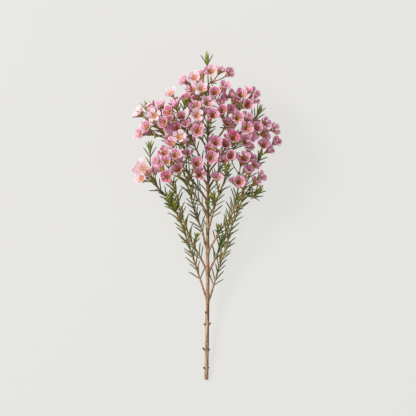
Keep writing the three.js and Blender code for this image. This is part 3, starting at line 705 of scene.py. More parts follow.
cutWood = {
    "pith": colour(196, 160, 116), "wood": colour(222, 196, 158), "rim": colour(150, 108, 78),
    "shine": (0.8, 0.2), "rings": 9000.0, "ringSway": 2.0, "patches": 900.0,
    "ringShare": (-1.0, 1.0, 0.0, 0.35), "pithRadius": (0.0004, 0.0008, 1.0, 0.0), "inset": 0.0004,
    "sunk": -0.00012, "bump": (0.4, 0.0001),
}


def makeCutWood():
    material, sockets = startMaterial("freshlyCutWood", *cutWood["shine"])
    offset = calcVector("SUBTRACT", objectPlace(), tuple(toFrame(axis[0])))
    length = calcVector("LENGTH", offset, out="Value")
    patch = mottle(cutWood["patches"])[0]
    rings = calc("SINE", length * cutWood["rings"] + patch * cutWood["ringSway"])
    skin = layered(
        cutWood["wood"],
        (spread(rings, *cutWood["ringShare"]), cutWood["rim"]),
        (spread(length, *cutWood["pithRadius"]), cutWood["pith"]))
    finishMaterial(sockets, skin, rings, cutWood["bump"])
    return material


# Needles: dark green with a pale keel and oil dots, the young ones yellow-green.
needles = {
    "dark": colour(46, 60, 24), "light": colour(126, 138, 62), "young": colour(130, 140, 28),
    "youngTip": colour(164, 162, 52), "tip": colour(150, 140, 80), "stalk": colour(186, 134, 70),
    "shine": (0.42, 0.45), "gloss": (0.36, 0.52), "bump": (0.35, 0.00012), "patches": 260.0,
    "dots": (2600.0, 0.34), "dotShare": 0.35, "dotHeight": 0.6, "freshFrom": (0.3, 1.0),
    "tipFrom": (0.9, 1.0), "tipShare": 0.6, "stalkTo": (0.06, 0.26, 0.75, 0.0),
    "sizes": {"Half Width": 0.0009, "Flatness": 0.84, "Bow": 0.5, "Sides": 5}, "rows": 7,
    "outline": [(0, 0.45), (0.08, 0.62), (0.25, 0.95), (0.6, 1.0), (0.9, 0.86), (1, 0.3)],
    "shortest": 13.0, "longest": 18.0, "sway": 32, "leastLean": 26, "leanSpread": 16,
    "thinFrom": 240, "thinning": 0.3, "mainStart": 0.44, "mainEnd": 0.96, "branchStart": 0.08,
    "twinLean": 0.2, "twinLength": 2, "leafTurn": 0.3, "leafBelow": 0.6, "leafYoung": 0.5,
    "girth": (0.88, 0.26), "leafLean": (24, 20), "leafLength": (7, 5),  # the least, and what a draw adds
    "shootStart": 0.1, "shootEnd": 0.72,
    "shootYoung": (0.25, 0.7),
    "onTwigs": {"start": 0.15, "young": (0.2, 0.55), "end": 0.7, "stature": 0.85},
}


def makeNeedleSkin():
    material, sockets = startMaterial("needleSkin", *needles["shine"])
    along = readShade("needleAlong")
    patch, grain = mottle(needles["patches"])
    dots = oilDots(*needles["dots"])
    old = blend(patch * 0.5 + readShade("needleTone") * 0.5, needles["dark"], needles["light"])
    fresh = blend(spread(along, *needles["freshFrom"]), needles["young"], needles["youngTip"])
    skin = layered(
        old,
        (readShade("needleYoung"), fresh),
        (dots * needles["dotShare"], needles["light"]),
        (spread(along, *needles["tipFrom"]) * needles["tipShare"], needles["tip"]),
        (spread(along, *needles["stalkTo"]), needles["stalk"]))
    height = dots * needles["dotHeight"] + grain
    finishMaterial(sockets, skin, height, needles["bump"], patch, needles["gloss"])
    return material


# Petals: waxy, deeper at the foot, paler at the rim, where a painted highlight also lies along the cupped
# edges, with fine veins that fan out from the claw.
petals = {
    "pale": colour(234, 208, 216), "rose": colour(231, 156, 191), "deep": colour(218, 112, 163),
    "hot": colour(208, 46, 130), "footDeep": colour(172, 42, 76), "footPale": colour(250, 214, 200),
    # The rim colour and its stretches below give a pale margin that is in part the petal's own colour and in
    # part a painted highlight on its cupped edges.
    "rim": colour(246, 224, 230), "shine": (0.46, 0.4), "gloss": (0.41, 0.56), "bump": (0.4, 0.00015),
    "roseTone": (0.0, 0.5), "deepTone": (0.5, 0.85), "hotTone": (0.88, 1.0), "footTone": (0.05, 0.4),
    "footTo": (0.1, 0.62, 0.6, 0.0), "rimPaleAndHighlightFrom": (0.66, 0.98), "rimPaleAndHighlightAlong": (0.1, 0.4),
    "rimPaleAndHighlightTone": (0.88, 1.0, 0.85, 0.5), "patches": 300.0, "patchShare": 0.2,
    "veins": 11.0, "veinFocus": 0.55, "veinRun": 1.3, "veinSeed": 37.0, "veinFrom": (0.35, 0.7),
    "veinTone": (0.0, 0.5, 0.12, 0.48), "veinHeight": 0.7, "grainHeight": 0.3,
    "subsurface": {"Weight": 0.6, "Radius": (1.0, 0.6, 0.7), "Scale": 0.0015},
    "sizes": {"Length": 0.0062, "Half Width": 0.00385, "Thickness": 0.0004, "Cup": 0.0019, "Ruffle": 0.0003},
    "claw": (0.0, 0.6, 0.58, 1.0), "bowlCurve": 1.25, "bowlSides": 0.42, "rimCurve": 3.0, "rimLift": 0.12,
    "edgeThinning": 0.55, "ripple": 330.0, "hinge": 3.6, "hingeRise": 0.05, "leastOpen": 20,
    "openSpread": 27, "wideOpen": 31, "cuppedCurve": 1.6, "deepest": 0.85, "deepWidth": 1.18,
    "openWidth": 0.93, "cuppedWidth": 0.22, "turnSway": 7, "liftSway": 9, "rollSway": 16,
    "setTone": 0.9, "toneSway": 0.14, "petalToneSway": 0.08, "count": 5,
    "size": (0.95, 0.1), "width": (0.94, 0.14), "depth": (0.7, 0.8),  # the least, and how much a draw adds
}


def makePetalSkin():
    material, sockets = startMaterial("petalSkin", *petals["shine"])
    along, side, tone = readShade("petalAlong"), readShade("petalAcross"), readShade("petalTone")
    seed, edge = readShade("petalSeed"), readShade("petalEdge")
    patch, grain = mottle(petals["patches"])
    fan = calc("DIVIDE", side, along + petals["veinFocus"])
    place = joined(fan * petals["veins"], along * petals["veinRun"], seed * petals["veinSeed"])
    veins = noise(place, 1.0, 3.0, 0.6)
    veined = spread(veins, *petals["veinFrom"]) * spread(tone, *petals["veinTone"])
    foot = blend(spread(tone, *petals["footTone"]), petals["footPale"], petals["footDeep"])
    # The pale margin: in part the petal's own colour, in part a painted highlight along its edges.
    edge = spread(edge, *petals["rimPaleAndHighlightFrom"]) * spread(along, *petals["rimPaleAndHighlightAlong"])
    edge = edge * spread(tone, *petals["rimPaleAndHighlightTone"])
    skin = layered(
        petals["pale"],
        (spread(tone, *petals["roseTone"]), petals["rose"]),
        (spread(tone, *petals["deepTone"]), petals["deep"]),
        (spread(tone, *petals["hotTone"]), petals["hot"]),
        (veined, petals["footDeep"]),
        (spread(along, *petals["footTo"]), foot),
        (edge, petals["rim"]),
        (patch * petals["patchShare"], petals["pale"]))
    for name, value in petals["subsurface"].items():
        sockets["Subsurface " + name].default_value = value
    height = veins * petals["veinHeight"] + grain * petals["grainHeight"]
    finishMaterial(sockets, skin, height, petals["bump"], patch, petals["gloss"])
    return material


# Cups, throats and stamens: their colours and shapes here, their finishes beside each material.
hearts = {
    "cup": colour(194, 154, 76), "cupDark": colour(118, 94, 38), "cupFoot": colour(172, 150, 64),
    "cupFlush": colour(188, 110, 74), "throatRim": colour(248, 212, 190), "rust": colour(154, 76, 36),
    "rustDark": colour(82, 33, 15), "orange": colour(222, 158, 84), "salmon": colour(204, 128, 100),
    "cream": colour(228, 186, 150), "filament": colour(232, 188, 196), "anther": colour(88, 30, 30),
    "style": colour(170, 120, 50), "throatPart": 0.69, "stamenPart": 1.5,
    "sizes": {"Sides": 10, "Rows": 17, "Sepal Flare": 0.2, "Stamens": 10, "Stamen Ring": 0.0037,
              "Stamen Length": 0.0021},
    "flareAt": (0.72, 0.1), "stamenBend": 0.0009, "styleLength": 0.0026, "styleFoot": -0.0021,
    "stamenOutline": [(0, 0.13), (0.6, 0.11), (0.7, 0.34), (0.88, 0.42), (1, 0.1)],
    "styleOutline": [(0, 0.3), (0.15, 0.16), (0.8, 0.13), (0.88, 0.26), (1, 0.14)],
}
# Outline from the foot of the cup over its rim to the bottom of the throat: share, radius and height.
cupOutline = [
    (0.0, 0.0, -6.0), (0.07, 0.85, -6.0), (0.18, 1.15, -5.1), (0.32, 1.95, -3.6),
    (0.46, 2.75, -2.2), (0.56, 3.25, -0.9), (0.65, 4.15, 0.1), (0.7, 4.2, 0.5),
    (0.75, 3.95, 0.45), (0.82, 3.4, -0.6), (0.91, 2.2, -2.0), (1.0, 0.0, -2.4),
]


cupLook = {
    "shine": (0.5, 0.45), "gloss": (0.36, 0.52), "bump": (0.4, 0.00016), "patches": (420.0, 1.1),
    "patchShare": 0.75, "dots": (2200.0, 0.36), "dotShare": 0.4, "dotHeight": 0.5, "bodyFrom": (0.05, 0.45),
    "ribShare": (-1.0, 0.1, 0.42, 0.0), "ribHeight": 0.9, "flushFrom": (0.36, 0.7, 0.0, 0.85),
    "flushTone": (0.0, 1.0, 0.35, 1.0),
}


def makeCupSkin():
    material, sockets = startMaterial("cupSkin", *cupLook["shine"])
    run = readShade("cupRun")
    x, y, _ = split(readShade("heartPlace", "Vector"))
    ribs = calc("COSINE", calc("ARCTAN2", y, x) * hearts["sizes"]["Sides"])
    patch, grain = mottle(*cupLook["patches"])
    dots = oilDots(*cupLook["dots"])
    flush = spread(run, *cupLook["flushFrom"]) * spread(readShade("bloomTone"), *cupLook["flushTone"])
    skin = layered(
        hearts["cupFoot"],
        (spread(run, *cupLook["bodyFrom"]), hearts["cup"]),
        (patch * cupLook["patchShare"], hearts["cupDark"]),
        (spread(ribs, *cupLook["ribShare"]), hearts["cupDark"]),
        (flush, hearts["cupFlush"]),
        (dots * cupLook["dotShare"], hearts["cupDark"]))
    height = dots * cupLook["dotHeight"] + grain + ribs * cupLook["ribHeight"]
    finishMaterial(sockets, skin, height, cupLook["bump"], patch, cupLook["gloss"])
    return material


throatLook = {
    "shine": (0.32, 0.5), "gloss": (0.22, 0.42), "bump": (0.3, 0.0001), "patches": (900.0, 1.2),
    "streaks": 3.2, "streakSeed": 57.0, "streakFrom": (0.4, 0.62), "ringSway": 0.035,
    "paleTo": (0.12, 0.4, 1.0, 0.0), "darkShare": 0.4, "paleWall": 0.85, "paleMiddle": 0.7,
    "wallFrom": (0.735, 0.775), "middleFrom": (0.86, 0.95),
}


def makeThroatSkin():
    material, sockets = startMaterial("throatSkin", *throatLook["shine"])
    run, tone = readShade("cupRun"), readShade("bloomTone")
    patch, grain = mottle(*throatLook["patches"])
    x, y, _ = split(readShade("heartPlace", "Vector"))
    around = calcVector("SCALE", calcVector("NORMALIZE", joined(x, y)), throatLook["streaks"])
    around = calcVector("ADD", around, joined(z=tone * throatLook["streakSeed"]))
    streak = spread(noise(around, 1.0, 2.0), *throatLook["streakFrom"])
    ringed = run + (patch - 0.5) * throatLook["ringSway"]
    pale = spread(tone, *throatLook["paleTo"])
    # The middle, down in the throat, is darker than the wall: in part the nectar disc's own rust, in part
    # painted shade that deepens the hollow.
    wall = layered(
        hearts["rust"],
        (streak, hearts["orange"]),
        (patch * throatLook["darkShare"], hearts["rustDark"]),
        (pale * throatLook["paleWall"], blend(streak, hearts["salmon"], hearts["cream"])))
    middle = layered(
        hearts["rust"],
        (patch, hearts["rustDark"]),
        (pale * throatLook["paleMiddle"], hearts["salmon"]))
    skin = layered(
        hearts["throatRim"],
        (spread(ringed, *throatLook["wallFrom"]), wall),
        (spread(ringed, *throatLook["middleFrom"]), middle))
    finishMaterial(sockets, skin, grain, throatLook["bump"], patch, throatLook["gloss"])
    return material


stamenLook = {
    "shine": (0.5, 0.35), "gloss": (0.42, 0.6), "bump": (0.3, 0.00006), "patches": 1500.0,
    "patchShare": 0.25, "antherFrom": (0.55, 0.7),
}


def makeStamenSkin():
    material, sockets = startMaterial("stamenSkin", *stamenLook["shine"])
    patch, grain = mottle(stamenLook["patches"])
    skin = layered(
        hearts["filament"],
        (spread(readShade("stamenAlong"), *stamenLook["antherFrom"]), hearts["anther"]),
        (patch * stamenLook["patchShare"], hearts["rustDark"]),
        (readShade("stamenStyle"), hearts["style"]))
    finishMaterial(sockets, skin, grain, stamenLook["bump"], patch, stamenLook["gloss"])
    return material


barkSkin, cutSkin, needleSkin, petalSkin = makeBark(), makeCutWood(), makeNeedleSkin(), makePetalSkin()
cupSkin, throatSkin, stamenSkin = makeCupSkin(), makeThroatSkin(), makeStamenSkin()
print("materials made")


# Wood, needles and threads are skins round a line, with a circle as their section.
def ringOf(sides):
    return geo("CurvePrimitiveCircle", {"Resolution": sides, "Radius": 1.0})


def skinOver(line, section, width):
    feed = {"Curve": line, "Profile Curve": section, "Scale": width, "Fill Caps": True}
    return geo("CurveToMesh", feed)


def upright(length, count, name):  # a line that stands on the origin, and how far along it each place is
    line = geo("CurvePrimitiveLine", {"Start": (0, 0, 0), "End": joined(z=length)})
    line = geo("ResampleCurve", {"Curve": line, "Count": count}, mode="COUNT")
    along = geo("SplineParameter", out="Factor")
    return keepField(line, name, along), along


def makeWoodTree():
    inputs = {"Sides": 12, "Bark Depth": 0.0001, "Ridges": 2.2, "Seed": 3.0, "Skin": None}
    given = startTree("growWood", inputs)
    section = keepField(ringOf(given["Sides"]), "barkRound", herePlace(), "FLOAT_VECTOR")
    line = geo("MeshToCurve", {"Mesh": given["Geometry"]})
    skin = skinOver(line, section, readField("woodRadius"))
    x, y, _ = split(readPlace("barkRound"))
    place = joined(x * given["Ridges"], y * given["Ridges"], readField("woodRun") * bark["ridgeRun"])
    depth = (noise(place, 1.0, 3.0, seed=given["Seed"]) - 0.5) * (given["Bark Depth"] * 2.0)
    skin = moved(skin, Offset=calcVector("SCALE", geo("InputNormal"), depth))
    return endTree(finishShape(skin, 0.00002, given["Skin"]))


# Needles: one slim keeled blade on every point, turned to needleAim and bowed towards needleSide.
def makeNeedleTree():
    given = startTree("setNeedles", {**needles["sizes"], "Skin": None})
    line, along = upright(1.0, needles["rows"], "needleAlong")
    flat = joined(given["Flatness"], 1.0, 1.0)
    section = geo("Transform", {"Geometry": ringOf(given["Sides"]), "Scale": flat})
    blade = skinOver(line, section, curveThrough(along, needles["outline"]))
    share = readField("needleAlong")
    blade = moved(blade, Offset=joined(share * (share - 1.0) * 4.0 * given["Bow"]))
    thick = given["Half Width"] * readField("needleGirth")
    size = joined(thick, thick, readField("needleLength"))
    skin = placed(given["Geometry"], blade, readPlace("needleAim"), readPlace("needleSide"), size)
    return endTree(finishShape(skin, 0.00006, given["Skin"]))


# Petals: a thin block rounded into a disc, lifted into a shallow bowl, and rippled where it stands.
def makePetalTree():
    given = startTree("openPetals", {**petals["sizes"], "Seed": 5.0, "Skin": None})
    block = geo("MeshCube", {"Size": (1, 1, 1), "Vertices X": 7, "Vertices Y": 5, "Vertices Z": 2})
    x, y, z = split(herePlace())
    x, y, layer = x * 2.0, y * 2.0, z + 0.5

    def rounded(one, other):  # a square turned into a disc
        return one * calc("SQRT", 1.0 - other * other * 0.5)

    discX, discY = rounded(x, y), rounded(y, x)
    along, edge = (discX + 1.0) * 0.5, discX * discX + discY * discY
    for name, value in (("Layer", layer), ("Along", along), ("Across", discY), ("Edge", edge)):
        block = keepField(block, "petal" + name, value)
    claw = spread(along, *petals["claw"], "SMOOTHSTEP")
    bowl = calc("POWER", along, petals["bowlCurve"]) + discY * discY * petals["bowlSides"]
    rim = calc("POWER", edge, petals["rimCurve"]) * petals["rimLift"]
    thin = given["Thickness"] * (1.0 - edge * petals["edgeThinning"])
    height = (bowl + rim) * given["Cup"] + (layer - 1.0) * thin
    block = moved(block, Position=joined(along * given["Length"], discY * given["Half Width"] * claw, height))
    size = readField("petalSize")
    scale = joined(size, size * readField("petalWidth"), readField("petalDepth"))
    skin = placed(given["Geometry"], block, readPlace("petalFace"), readPlace("petalAxis"), scale)
    ripple = noise(herePlace(), petals["ripple"], 1.0, seed=given["Seed"], out="Color")
    ripple = calcVector("SUBTRACT", ripple, (0.5, 0.5, 0.5))
    skin = moved(skin, Offset=calcVector("SCALE", ripple, given["Ruffle"] * (readField("petalAlong") * 4.0)))
    return endTree(finishShape(skin, readField("petalLayer") * 0.0003 + 0.0001, given["Skin"]))


def turnedOutline(sides, rows, outline, amount, middle, reach):  # turned round z, with five lobes near middle
    sheet = geo("MeshGrid", {"Size X": 1.0, "Size Y": 1.0, "Vertices X": sides + 1.0, "Vertices Y": rows})
    x, y, _ = split(herePlace())
    turn, share = (x + 0.5) * (2 * math.pi), y + 0.5
    widest = max(radius for _, radius, _ in outline)
    low, high = min(z for _, _, z in outline), max(z for _, _, z in outline)
    radius = curveThrough(share, [(s, r / widest) for s, r, _ in outline]) * (widest / 1000)
    height = curveThrough(share, [(s, (z - low) / (high - low)) for s, _, z in outline])
    height = height * ((high - low) / 1000) + low / 1000
    lobes = calc("COSINE", (turn - math.pi / 5) * 5.0)
    near = spread(calc("ABSOLUTE", share - middle), 0.0, reach, 1.0, 0.0)
    radius = radius * (lobes * near * amount + 1.0)
    place = joined(radius * calc("COSINE", turn), radius * calc("SINE", turn), height)
    sheet = keepField(sheet, "cupRun", share)
    sheet = keepField(sheet, "heartPlace", calcVector("SCALE", place, 1000.0), "FLOAT_VECTOR")
    sheet = keepField(sheet, "cupPart", share, domain="FACE")
    return geo("MergeByDistance", {"Geometry": moved(sheet, Position=place), "Distance": 0.00001})


def thread(length, sides, outline, bend):
    line, along = upright(length, 6, "stamenAlong")
    line = moved(line, Offset=joined(along * along * bend))
    return skinOver(line, ringOf(sides), curveThrough(along, outline) * 0.001)


def together(first, second):
    node = addNode("GeometryNodeJoinGeometry", {0: first})
    fill(node.inputs[0], second)
    return Field(node.outputs[0])


def skinFrom(shape, least, material):  # another material for the faces whose cupPart is above that
    chosen = add("FunctionNodeCompare", {0: readField("cupPart"), 1: least}, operation="GREATER_THAN")
    return geo("SetMaterial", {"Geometry": shape, "Selection": chosen, "Material": material})


# Hearts: cup, sunken throat, ten stamens and a style in the middle of every bloom.
def makeHeartTree():
    skins = {"Cup Skin": None, "Throat Skin": None, "Stamen Skin": None}
    given = startTree("fillHearts", {**hearts["sizes"], **skins})
    cup = turnedOutline(given["Sides"], given["Rows"], cupOutline, given["Sepal Flare"], *hearts["flareAt"])
    stamen = thread(given["Stamen Length"], 4, hearts["stamenOutline"], hearts["stamenBend"])
    ring = geo("MeshCircle", {"Vertices": given["Stamens"], "Radius": given["Stamen Ring"]})
    stamens = placed(ring, stamen, (0, 0, 1), herePlace())
    style = keepField(thread(hearts["styleLength"], 5, hearts["styleOutline"], 0.0), "stamenStyle", 1.0)
    style = geo("Transform", {"Geometry": style, "Translation": (0, 0, hearts["styleFoot"])})
    threads = keepField(together(stamens, style), "cupPart", 2.0, domain="FACE")
    size = readField("bloomSize")
    heart, scale = together(cup, threads), joined(size, size, size)
    skin = placed(given["Geometry"], heart, readPlace("bloomFace"), readPlace("bloomAxis"), scale)
    skin = finishShape(skin, 0.00005, given["Cup Skin"])
    skin = skinFrom(skin, hearts["throatPart"], given["Throat Skin"])
    return endTree(skinFrom(skin, hearts["stamenPart"], given["Stamen Skin"]))


# Buds: a small cup under five petals that are still folded into a ball.
buds = {
    "sizes": {"Sides": 10, "Rows": 12, "Fluting": 0.07, "Size": 0.9}, "fluteAt": (0.8, 0.25), "cupEnd": 0.56,
    "share": 0.5, "stalk": 4, "lean": 0.7, "room": 7, "cupTone": 0.5, "petalTone": 0.55,
}
budOutline = [
    (0.0, 0.0, 0.0), (0.08, 0.6, 0.05), (0.3, 1.35, 2.0), (0.5, 1.75, 3.4), (0.56, 1.7, 3.6),
    (0.62, 1.95, 4.1), (0.8, 1.75, 5.6), (0.92, 0.9, 6.8), (1.0, 0.0, 7.3),
]


def makeBudTree():
    given = startTree("closedBuds", {**buds["sizes"], "Cup Skin": None, "Petal Skin": None})
    bud = turnedOutline(given["Sides"], given["Rows"], budOutline, given["Fluting"], *buds["fluteAt"])
    bud = keepField(bud, "petalAlong", spread(readField("cupRun"), buds["cupEnd"], 1.0, 0.25, 0.8))
    scale = joined(given["Size"], given["Size"], given["Size"])
    skin = placed(given["Geometry"], bud, readPlace("bloomFace"), readPlace("bloomAxis"), scale)
    skin = finishShape(skin, 0.00005, given["Cup Skin"])
    return endTree(skinFrom(skin, buds["cupEnd"] + 0.01, given["Petal Skin"]))


woodTree, needleTree, petalTree = makeWoodTree(), makeNeedleTree(), makePetalTree()
heartTree, budTree = makeHeartTree(), makeBudTree()
print("node trees made")


def wayAlong(line):
    return np.concatenate(([0], np.cumsum(lengthOf(np.diff(line, axis=0)))))


def smoothLine(points, radii, step):  # a curve through the points, with its thickness and the way gone
    points, radii = np.asarray(points, float), np.asarray(radii, float)
    row = np.vstack((2 * points[0] - points[1], points, 2 * points[-1] - points[-2]))
    places, sizes = [], []
    for i in range(len(points) - 1):
        a, b, c, d = row[i:i + 4]
        count = max(round(lengthOf(c - b) / step), 1)
        for k in range(count):
            s = k / count
            bend = (2 * a - 5 * b + 4 * c - d) * s * s + (3 * b - a - 3 * c + d) * s ** 3
            places.append(0.5 * (2 * b + (c - a) * s + bend))
            sizes.append(radii[i] + (radii[i + 1] - radii[i]) * s)
    places, sizes = np.array(places + [points[-1]]), np.array(sizes + [radii[-1]])
    return places, sizes, wayAlong(places)


def taper(line, first, last):
    way = wayAlong(line)
    return first + (last - first) * way / way[-1]


def swellings(way, places, reach, amount):
    swell = np.zeros(len(way))
    for place in places:
        swell = np.maximum(swell, amount * np.exp(-((way - place) / reach) ** 2))
    return swell


# Wood in millimetres: how far apart its leaf nodes are and how much they and the forks swell.
wood = {
    "main": {"step": 1.6, "nodeGap": 12.5, "swelling": 0.06, "forkReach": 3.6},
    "branch": {"step": 1.8, "nodeGap": 5.4, "swelling": 0.13, "forkReach": 2.2},
    "twig": {"step": 1.8, "nodeGap": 5.4, "swelling": 0.12},
    "stub": {"step": 0.8, "nodeGap": 50.0, "swelling": 0.0},
    "pedicel": {"step": 1.4, "nodeGap": 50.0, "swelling": 0.0},
    "belly": 0.16, "collar": (1.5, 1.4, 1.25, 1.1), "thickFoot": 1.12, "rootBelow": 7, "rootBend": 0.55,
    "stubRadii": (1.4, 0.85), "stubRise": 1.05, "stubBelow": 5.2, "stubScar": (0.45, 2.2),
    "forkSwelling": 0.2, "nodeReach": 0.9, "grainShift": 0.37, "twigDepth": bark["depth"] * 0.3,
    "branchDepth": bark["depth"] * 0.5, "nodeScar": (0.5, 0.55), "forkScar": (0.8, 0.5), "mainScar": 0.5,
    "mainAges": (1.0, 0.3), "stubAges": (1.0, 0.9), "branchAges": (0.75, 0.3), "twigAges": (0.35, 0.1),
    "shootAges": (0.25, 0.0), "pedicelAges": (0.0, 0.0),
}


# A line of wood: its places, its thickness with swollen nodes, how old it is and where it is scarred.
def woodChain(line, first, last, ages, step, nodeGap, swelling, forks=(), forkReach=3.0):
    places, sizes, way = smoothLine(line, taper(line, first, last), step)
    nodes = np.arange(nodeGap * 0.5, way[-1], nodeGap)
    knots = swellings(way, nodes, wood["nodeReach"], swelling)
    knots = np.maximum(knots, swellings(way, forks, forkReach, wood["forkSwelling"]))
    scar = swellings(way, nodes, *wood["nodeScar"])
    scar = np.maximum(scar, swellings(way, forks, *wood["forkScar"]))
    age = ages[0] + (ages[1] - ages[0]) * way / way[-1]
    return {"places": places, "radius": sizes * (1 + knots), "way": way, "age": age, "scar": scar}


def woodPiece(name, chains, sides, depth, skin=barkSkin, seed=3.0):
    places, edges, fields = [], [], {"woodRadius": [], "woodRun": [], "woodAge": [], "woodScar": []}
    for number, chain in enumerate(chains):
        start, count = len(places), len(chain["places"])
        places.extend(chain["places"])
        edges.extend((start + i, start + i + 1) for i in range(count - 1))
        fields["woodRadius"].extend(chain["radius"] / 1000)
        fields["woodRun"].extend(chain["way"] / 1000 + number * wood["grainShift"])
        fields["woodAge"].extend(chain["age"])
        fields["woodScar"].extend(chain["scar"])
    sizes = {"Sides": sides, "Bark Depth": depth, "Skin": skin, "Seed": seed}
    return grown(name, woodTree, pointMesh(name, places, fields, edges), sizes)


def wayTo(line, place):  # how far along a line the nearest of its places is
    places, _, way = smoothLine(line, taper(line, 1, 1), 1.5)
    return way[int(lengthOf(places - place).argmin())]


def grownFrom(owner):  # the clusters and the shoots on one piece of wood
    return [[one for one in rows if one["from"] == owner] for rows in (clusters, shoots)]


def twigChains(owner):
    flowering, leafy = grownFrom(owner)
    lines = [(np.vstack((cluster["twig"][:2], cluster["foot"])), wood["twigAges"]) for cluster in flowering]
    lines += [(shoot["line"], wood["shootAges"]) for shoot in leafy]
    radii = growth["twigRadius"], growth["twigTipRadius"]
    return [woodChain(line, *radii, ages, **wood["twig"]) for line, ages in lines]


def makeMainStem():
    name = "main_stem_wood"
    forks = [wayTo(axis, stemPointAt(axis, line[0][1] - 5)) for line in branchLines]
    radii = growth["cutEndRadius"], growth["stemTipRadius"]
    main = woodChain(axis, *radii, wood["mainAges"], forks=forks, **wood["main"])
    main["radius"] *= 1 + wood["belly"] * np.sin(math.pi * (main["way"] / main["way"][-1]))
    main["scar"] *= wood["mainScar"]
    chains = [main]
    for y, side, lift, length in stubs:
        root = stemPointAt(axis, y - wood["stubBelow"])
        way = unit(np.array((side, wood["stubRise"], lift)))
        line = np.array((root, root + way * length * 0.6, root + way * (length + 0.6)))
        chain = woodChain(line, *wood["stubRadii"], wood["stubAges"], **wood["stub"])
        start, steepness = wood["stubScar"]
        chain["scar"] = np.clip((chain["way"] / chain["way"][-1] - start) * steepness, 0, 1)
        chains.append(chain)
    stem = woodPiece(name, chains, bark["stemSides"], bark["depth"])
    cutFace(stem)
    twigs = woodPiece("main_stem_twigs", twigChains(mainStem), bark["twigSides"], wood["twigDepth"])
    return joinPieces(name, [stem, twigs])


def cutFace(piece):  # the florist's cut: pale wood inside a thin rim of bark
    piece.data.materials.append(cutSkin)
    work = bmesh.new()
    work.from_mesh(piece.data)
    start = Vector(toFrame(axis[0]).tolist())
    cap = min(work.faces, key=lambda face: (face.calc_center_median() - start).length)
    cap.smooth = False
    bmesh.ops.inset_region(work, faces=[cap], thickness=cutWood["inset"], depth=cutWood["sunk"])
    cap.material_index = len(piece.data.materials) - 1
    work.to_mesh(piece.data)
    work.free()


def makeBranchWood(owner):
    name = "leafy_branch_%02d_wood" % (owner + 1)
    first = branches[owner][0]
    root = stemPointAt(axis, first[1] - wood["rootBelow"])  # in the main stem's own wood
    line = np.vstack((root, root + (first - root) * wood["rootBend"], branches[owner]))
    flowering, leafy = grownFrom(owner)
    forks = [wayTo(line, cluster["fork"]) for cluster in flowering]
    forks += [wayTo(line, shoot["line"][0]) for shoot in leafy]
    radii = growth["branchRadius"] * wood["thickFoot"], growth["branchTipRadius"]
    main = woodChain(line, *radii, wood["branchAges"], forks=forks, **wood["branch"])
    main["radius"][:len(wood["collar"])] *= wood["collar"]
    branch = woodPiece(name, [main], bark["branchSides"], wood["branchDepth"], seed=3.0 + owner)
    chains = twigChains(owner)
    if not chains:
        return branch
    twigs = woodPiece(name + "_twigs", chains, bark["twigSides"], wood["twigDepth"], seed=8.0 + owner)
    return joinPieces(name, [branch, twigs])


# Where needles may stand: clear of every bloom and pedicel.
extras = [extra for cluster in clusters for extra in cluster["extras"]]
allCentres = np.vstack((centres, [extra["centre"] for extra in extras]))
allFaces = [face for cluster in clusters for face in cluster["faces"]]
allFaces = np.array(allFaces + [extra["face"] for extra in extras])
room = {"disc": 8.0, "below": -1.1, "above": 3.6, "cup": 3.4, "cupFoot": -6.4, "cupTop": 1}


def clearOfBlooms(root, direction, length):
    places = root + direction * length * np.linspace(0.12, 1, 9)[:, None]
    gap = places[:, None] - allCentres[None]
    height = (gap * allFaces).sum(-1)
    reach = lengthOf(gap - allFaces * height[..., None])
    inDisc = (reach < room["disc"]) & (height > room["below"]) & (height < room["above"])
    inCup = (reach < room["cup"]) & (height > room["cupFoot"]) & (height < room["cupTop"])
    return not (inDisc | inCup).any()


def needleRow(root, direction, angle, lean, length, young, draw):
    side = across(direction, angle)
    aim = unit(leaning(direction, side, lean))
    if not clearOfBlooms(root, aim, length):
        return []
    return [{"root": root, "needleAim": aim, "needleSide": side, "needleLength": length / 1000,
             "needleYoung": young, "needleTone": draw(),
             "needleGirth": needles["girth"][0] + needles["girth"][1] * draw()}]


def needlesAlong(line, draw, extra, start, young=(0.0, 0.0), end=1.0, stature=1.0, every=1):
    places, directions = walk(line, growth["needleNodeGap"])
    rows = []
    for node, (place, direction) in enumerate(zip(places, directions)):
        wide, stretch = draw(), draw()
        share = node / len(places)
        if share < start or share > end or node % every:
            continue
        if place[1] > needles["thinFrom"] and extra() < needles["thinning"]:
            continue
        fresh = young[0] + (young[1] - young[0]) * share
        quarter = math.pi / 2 if node // every % 3 == 1 else 0  # most pairs stand to the left and right
        for turn in (0, math.pi):
            lean = math.radians(needles["leastLean"] + wide * needles["leanSpread"])
            length = needles["shortest"] + stretch * (needles["longest"] - needles["shortest"])
            if turn:
                lean += (extra() - 0.5) * needles["twinLean"]
                length += (extra() - 0.5) * needles["twinLength"]
            length *= stature
            angle = quarter + turn + math.radians((extra() - 0.5) * 2 * needles["sway"])
            rows += needleRow(place, direction, angle, lean, length, fresh, extra)
    return rows


# Tufts at the tips of shoots: a spear of young needles among older pairs that stand off.
tufts = {
    "spears": 5, "aim": (0, 0.8, 0.1), "shorter": 6, "spearLean": (1, 6, 6), "spearGap": (0.4, 0.3),
    "twist": (0.4, 2.5), "pairs": 3, "wide": 18, "topPairs": 2, "topWide": 25, "widerBy": 5,
    "pairGap": (1.2, 2.6), "pairTurn": 0.25, "youngSpear": (0.55, 0.4), "pairSway": 6, "pairShorter": 3,
    "pairYoung": (0.25, 0.2),
}


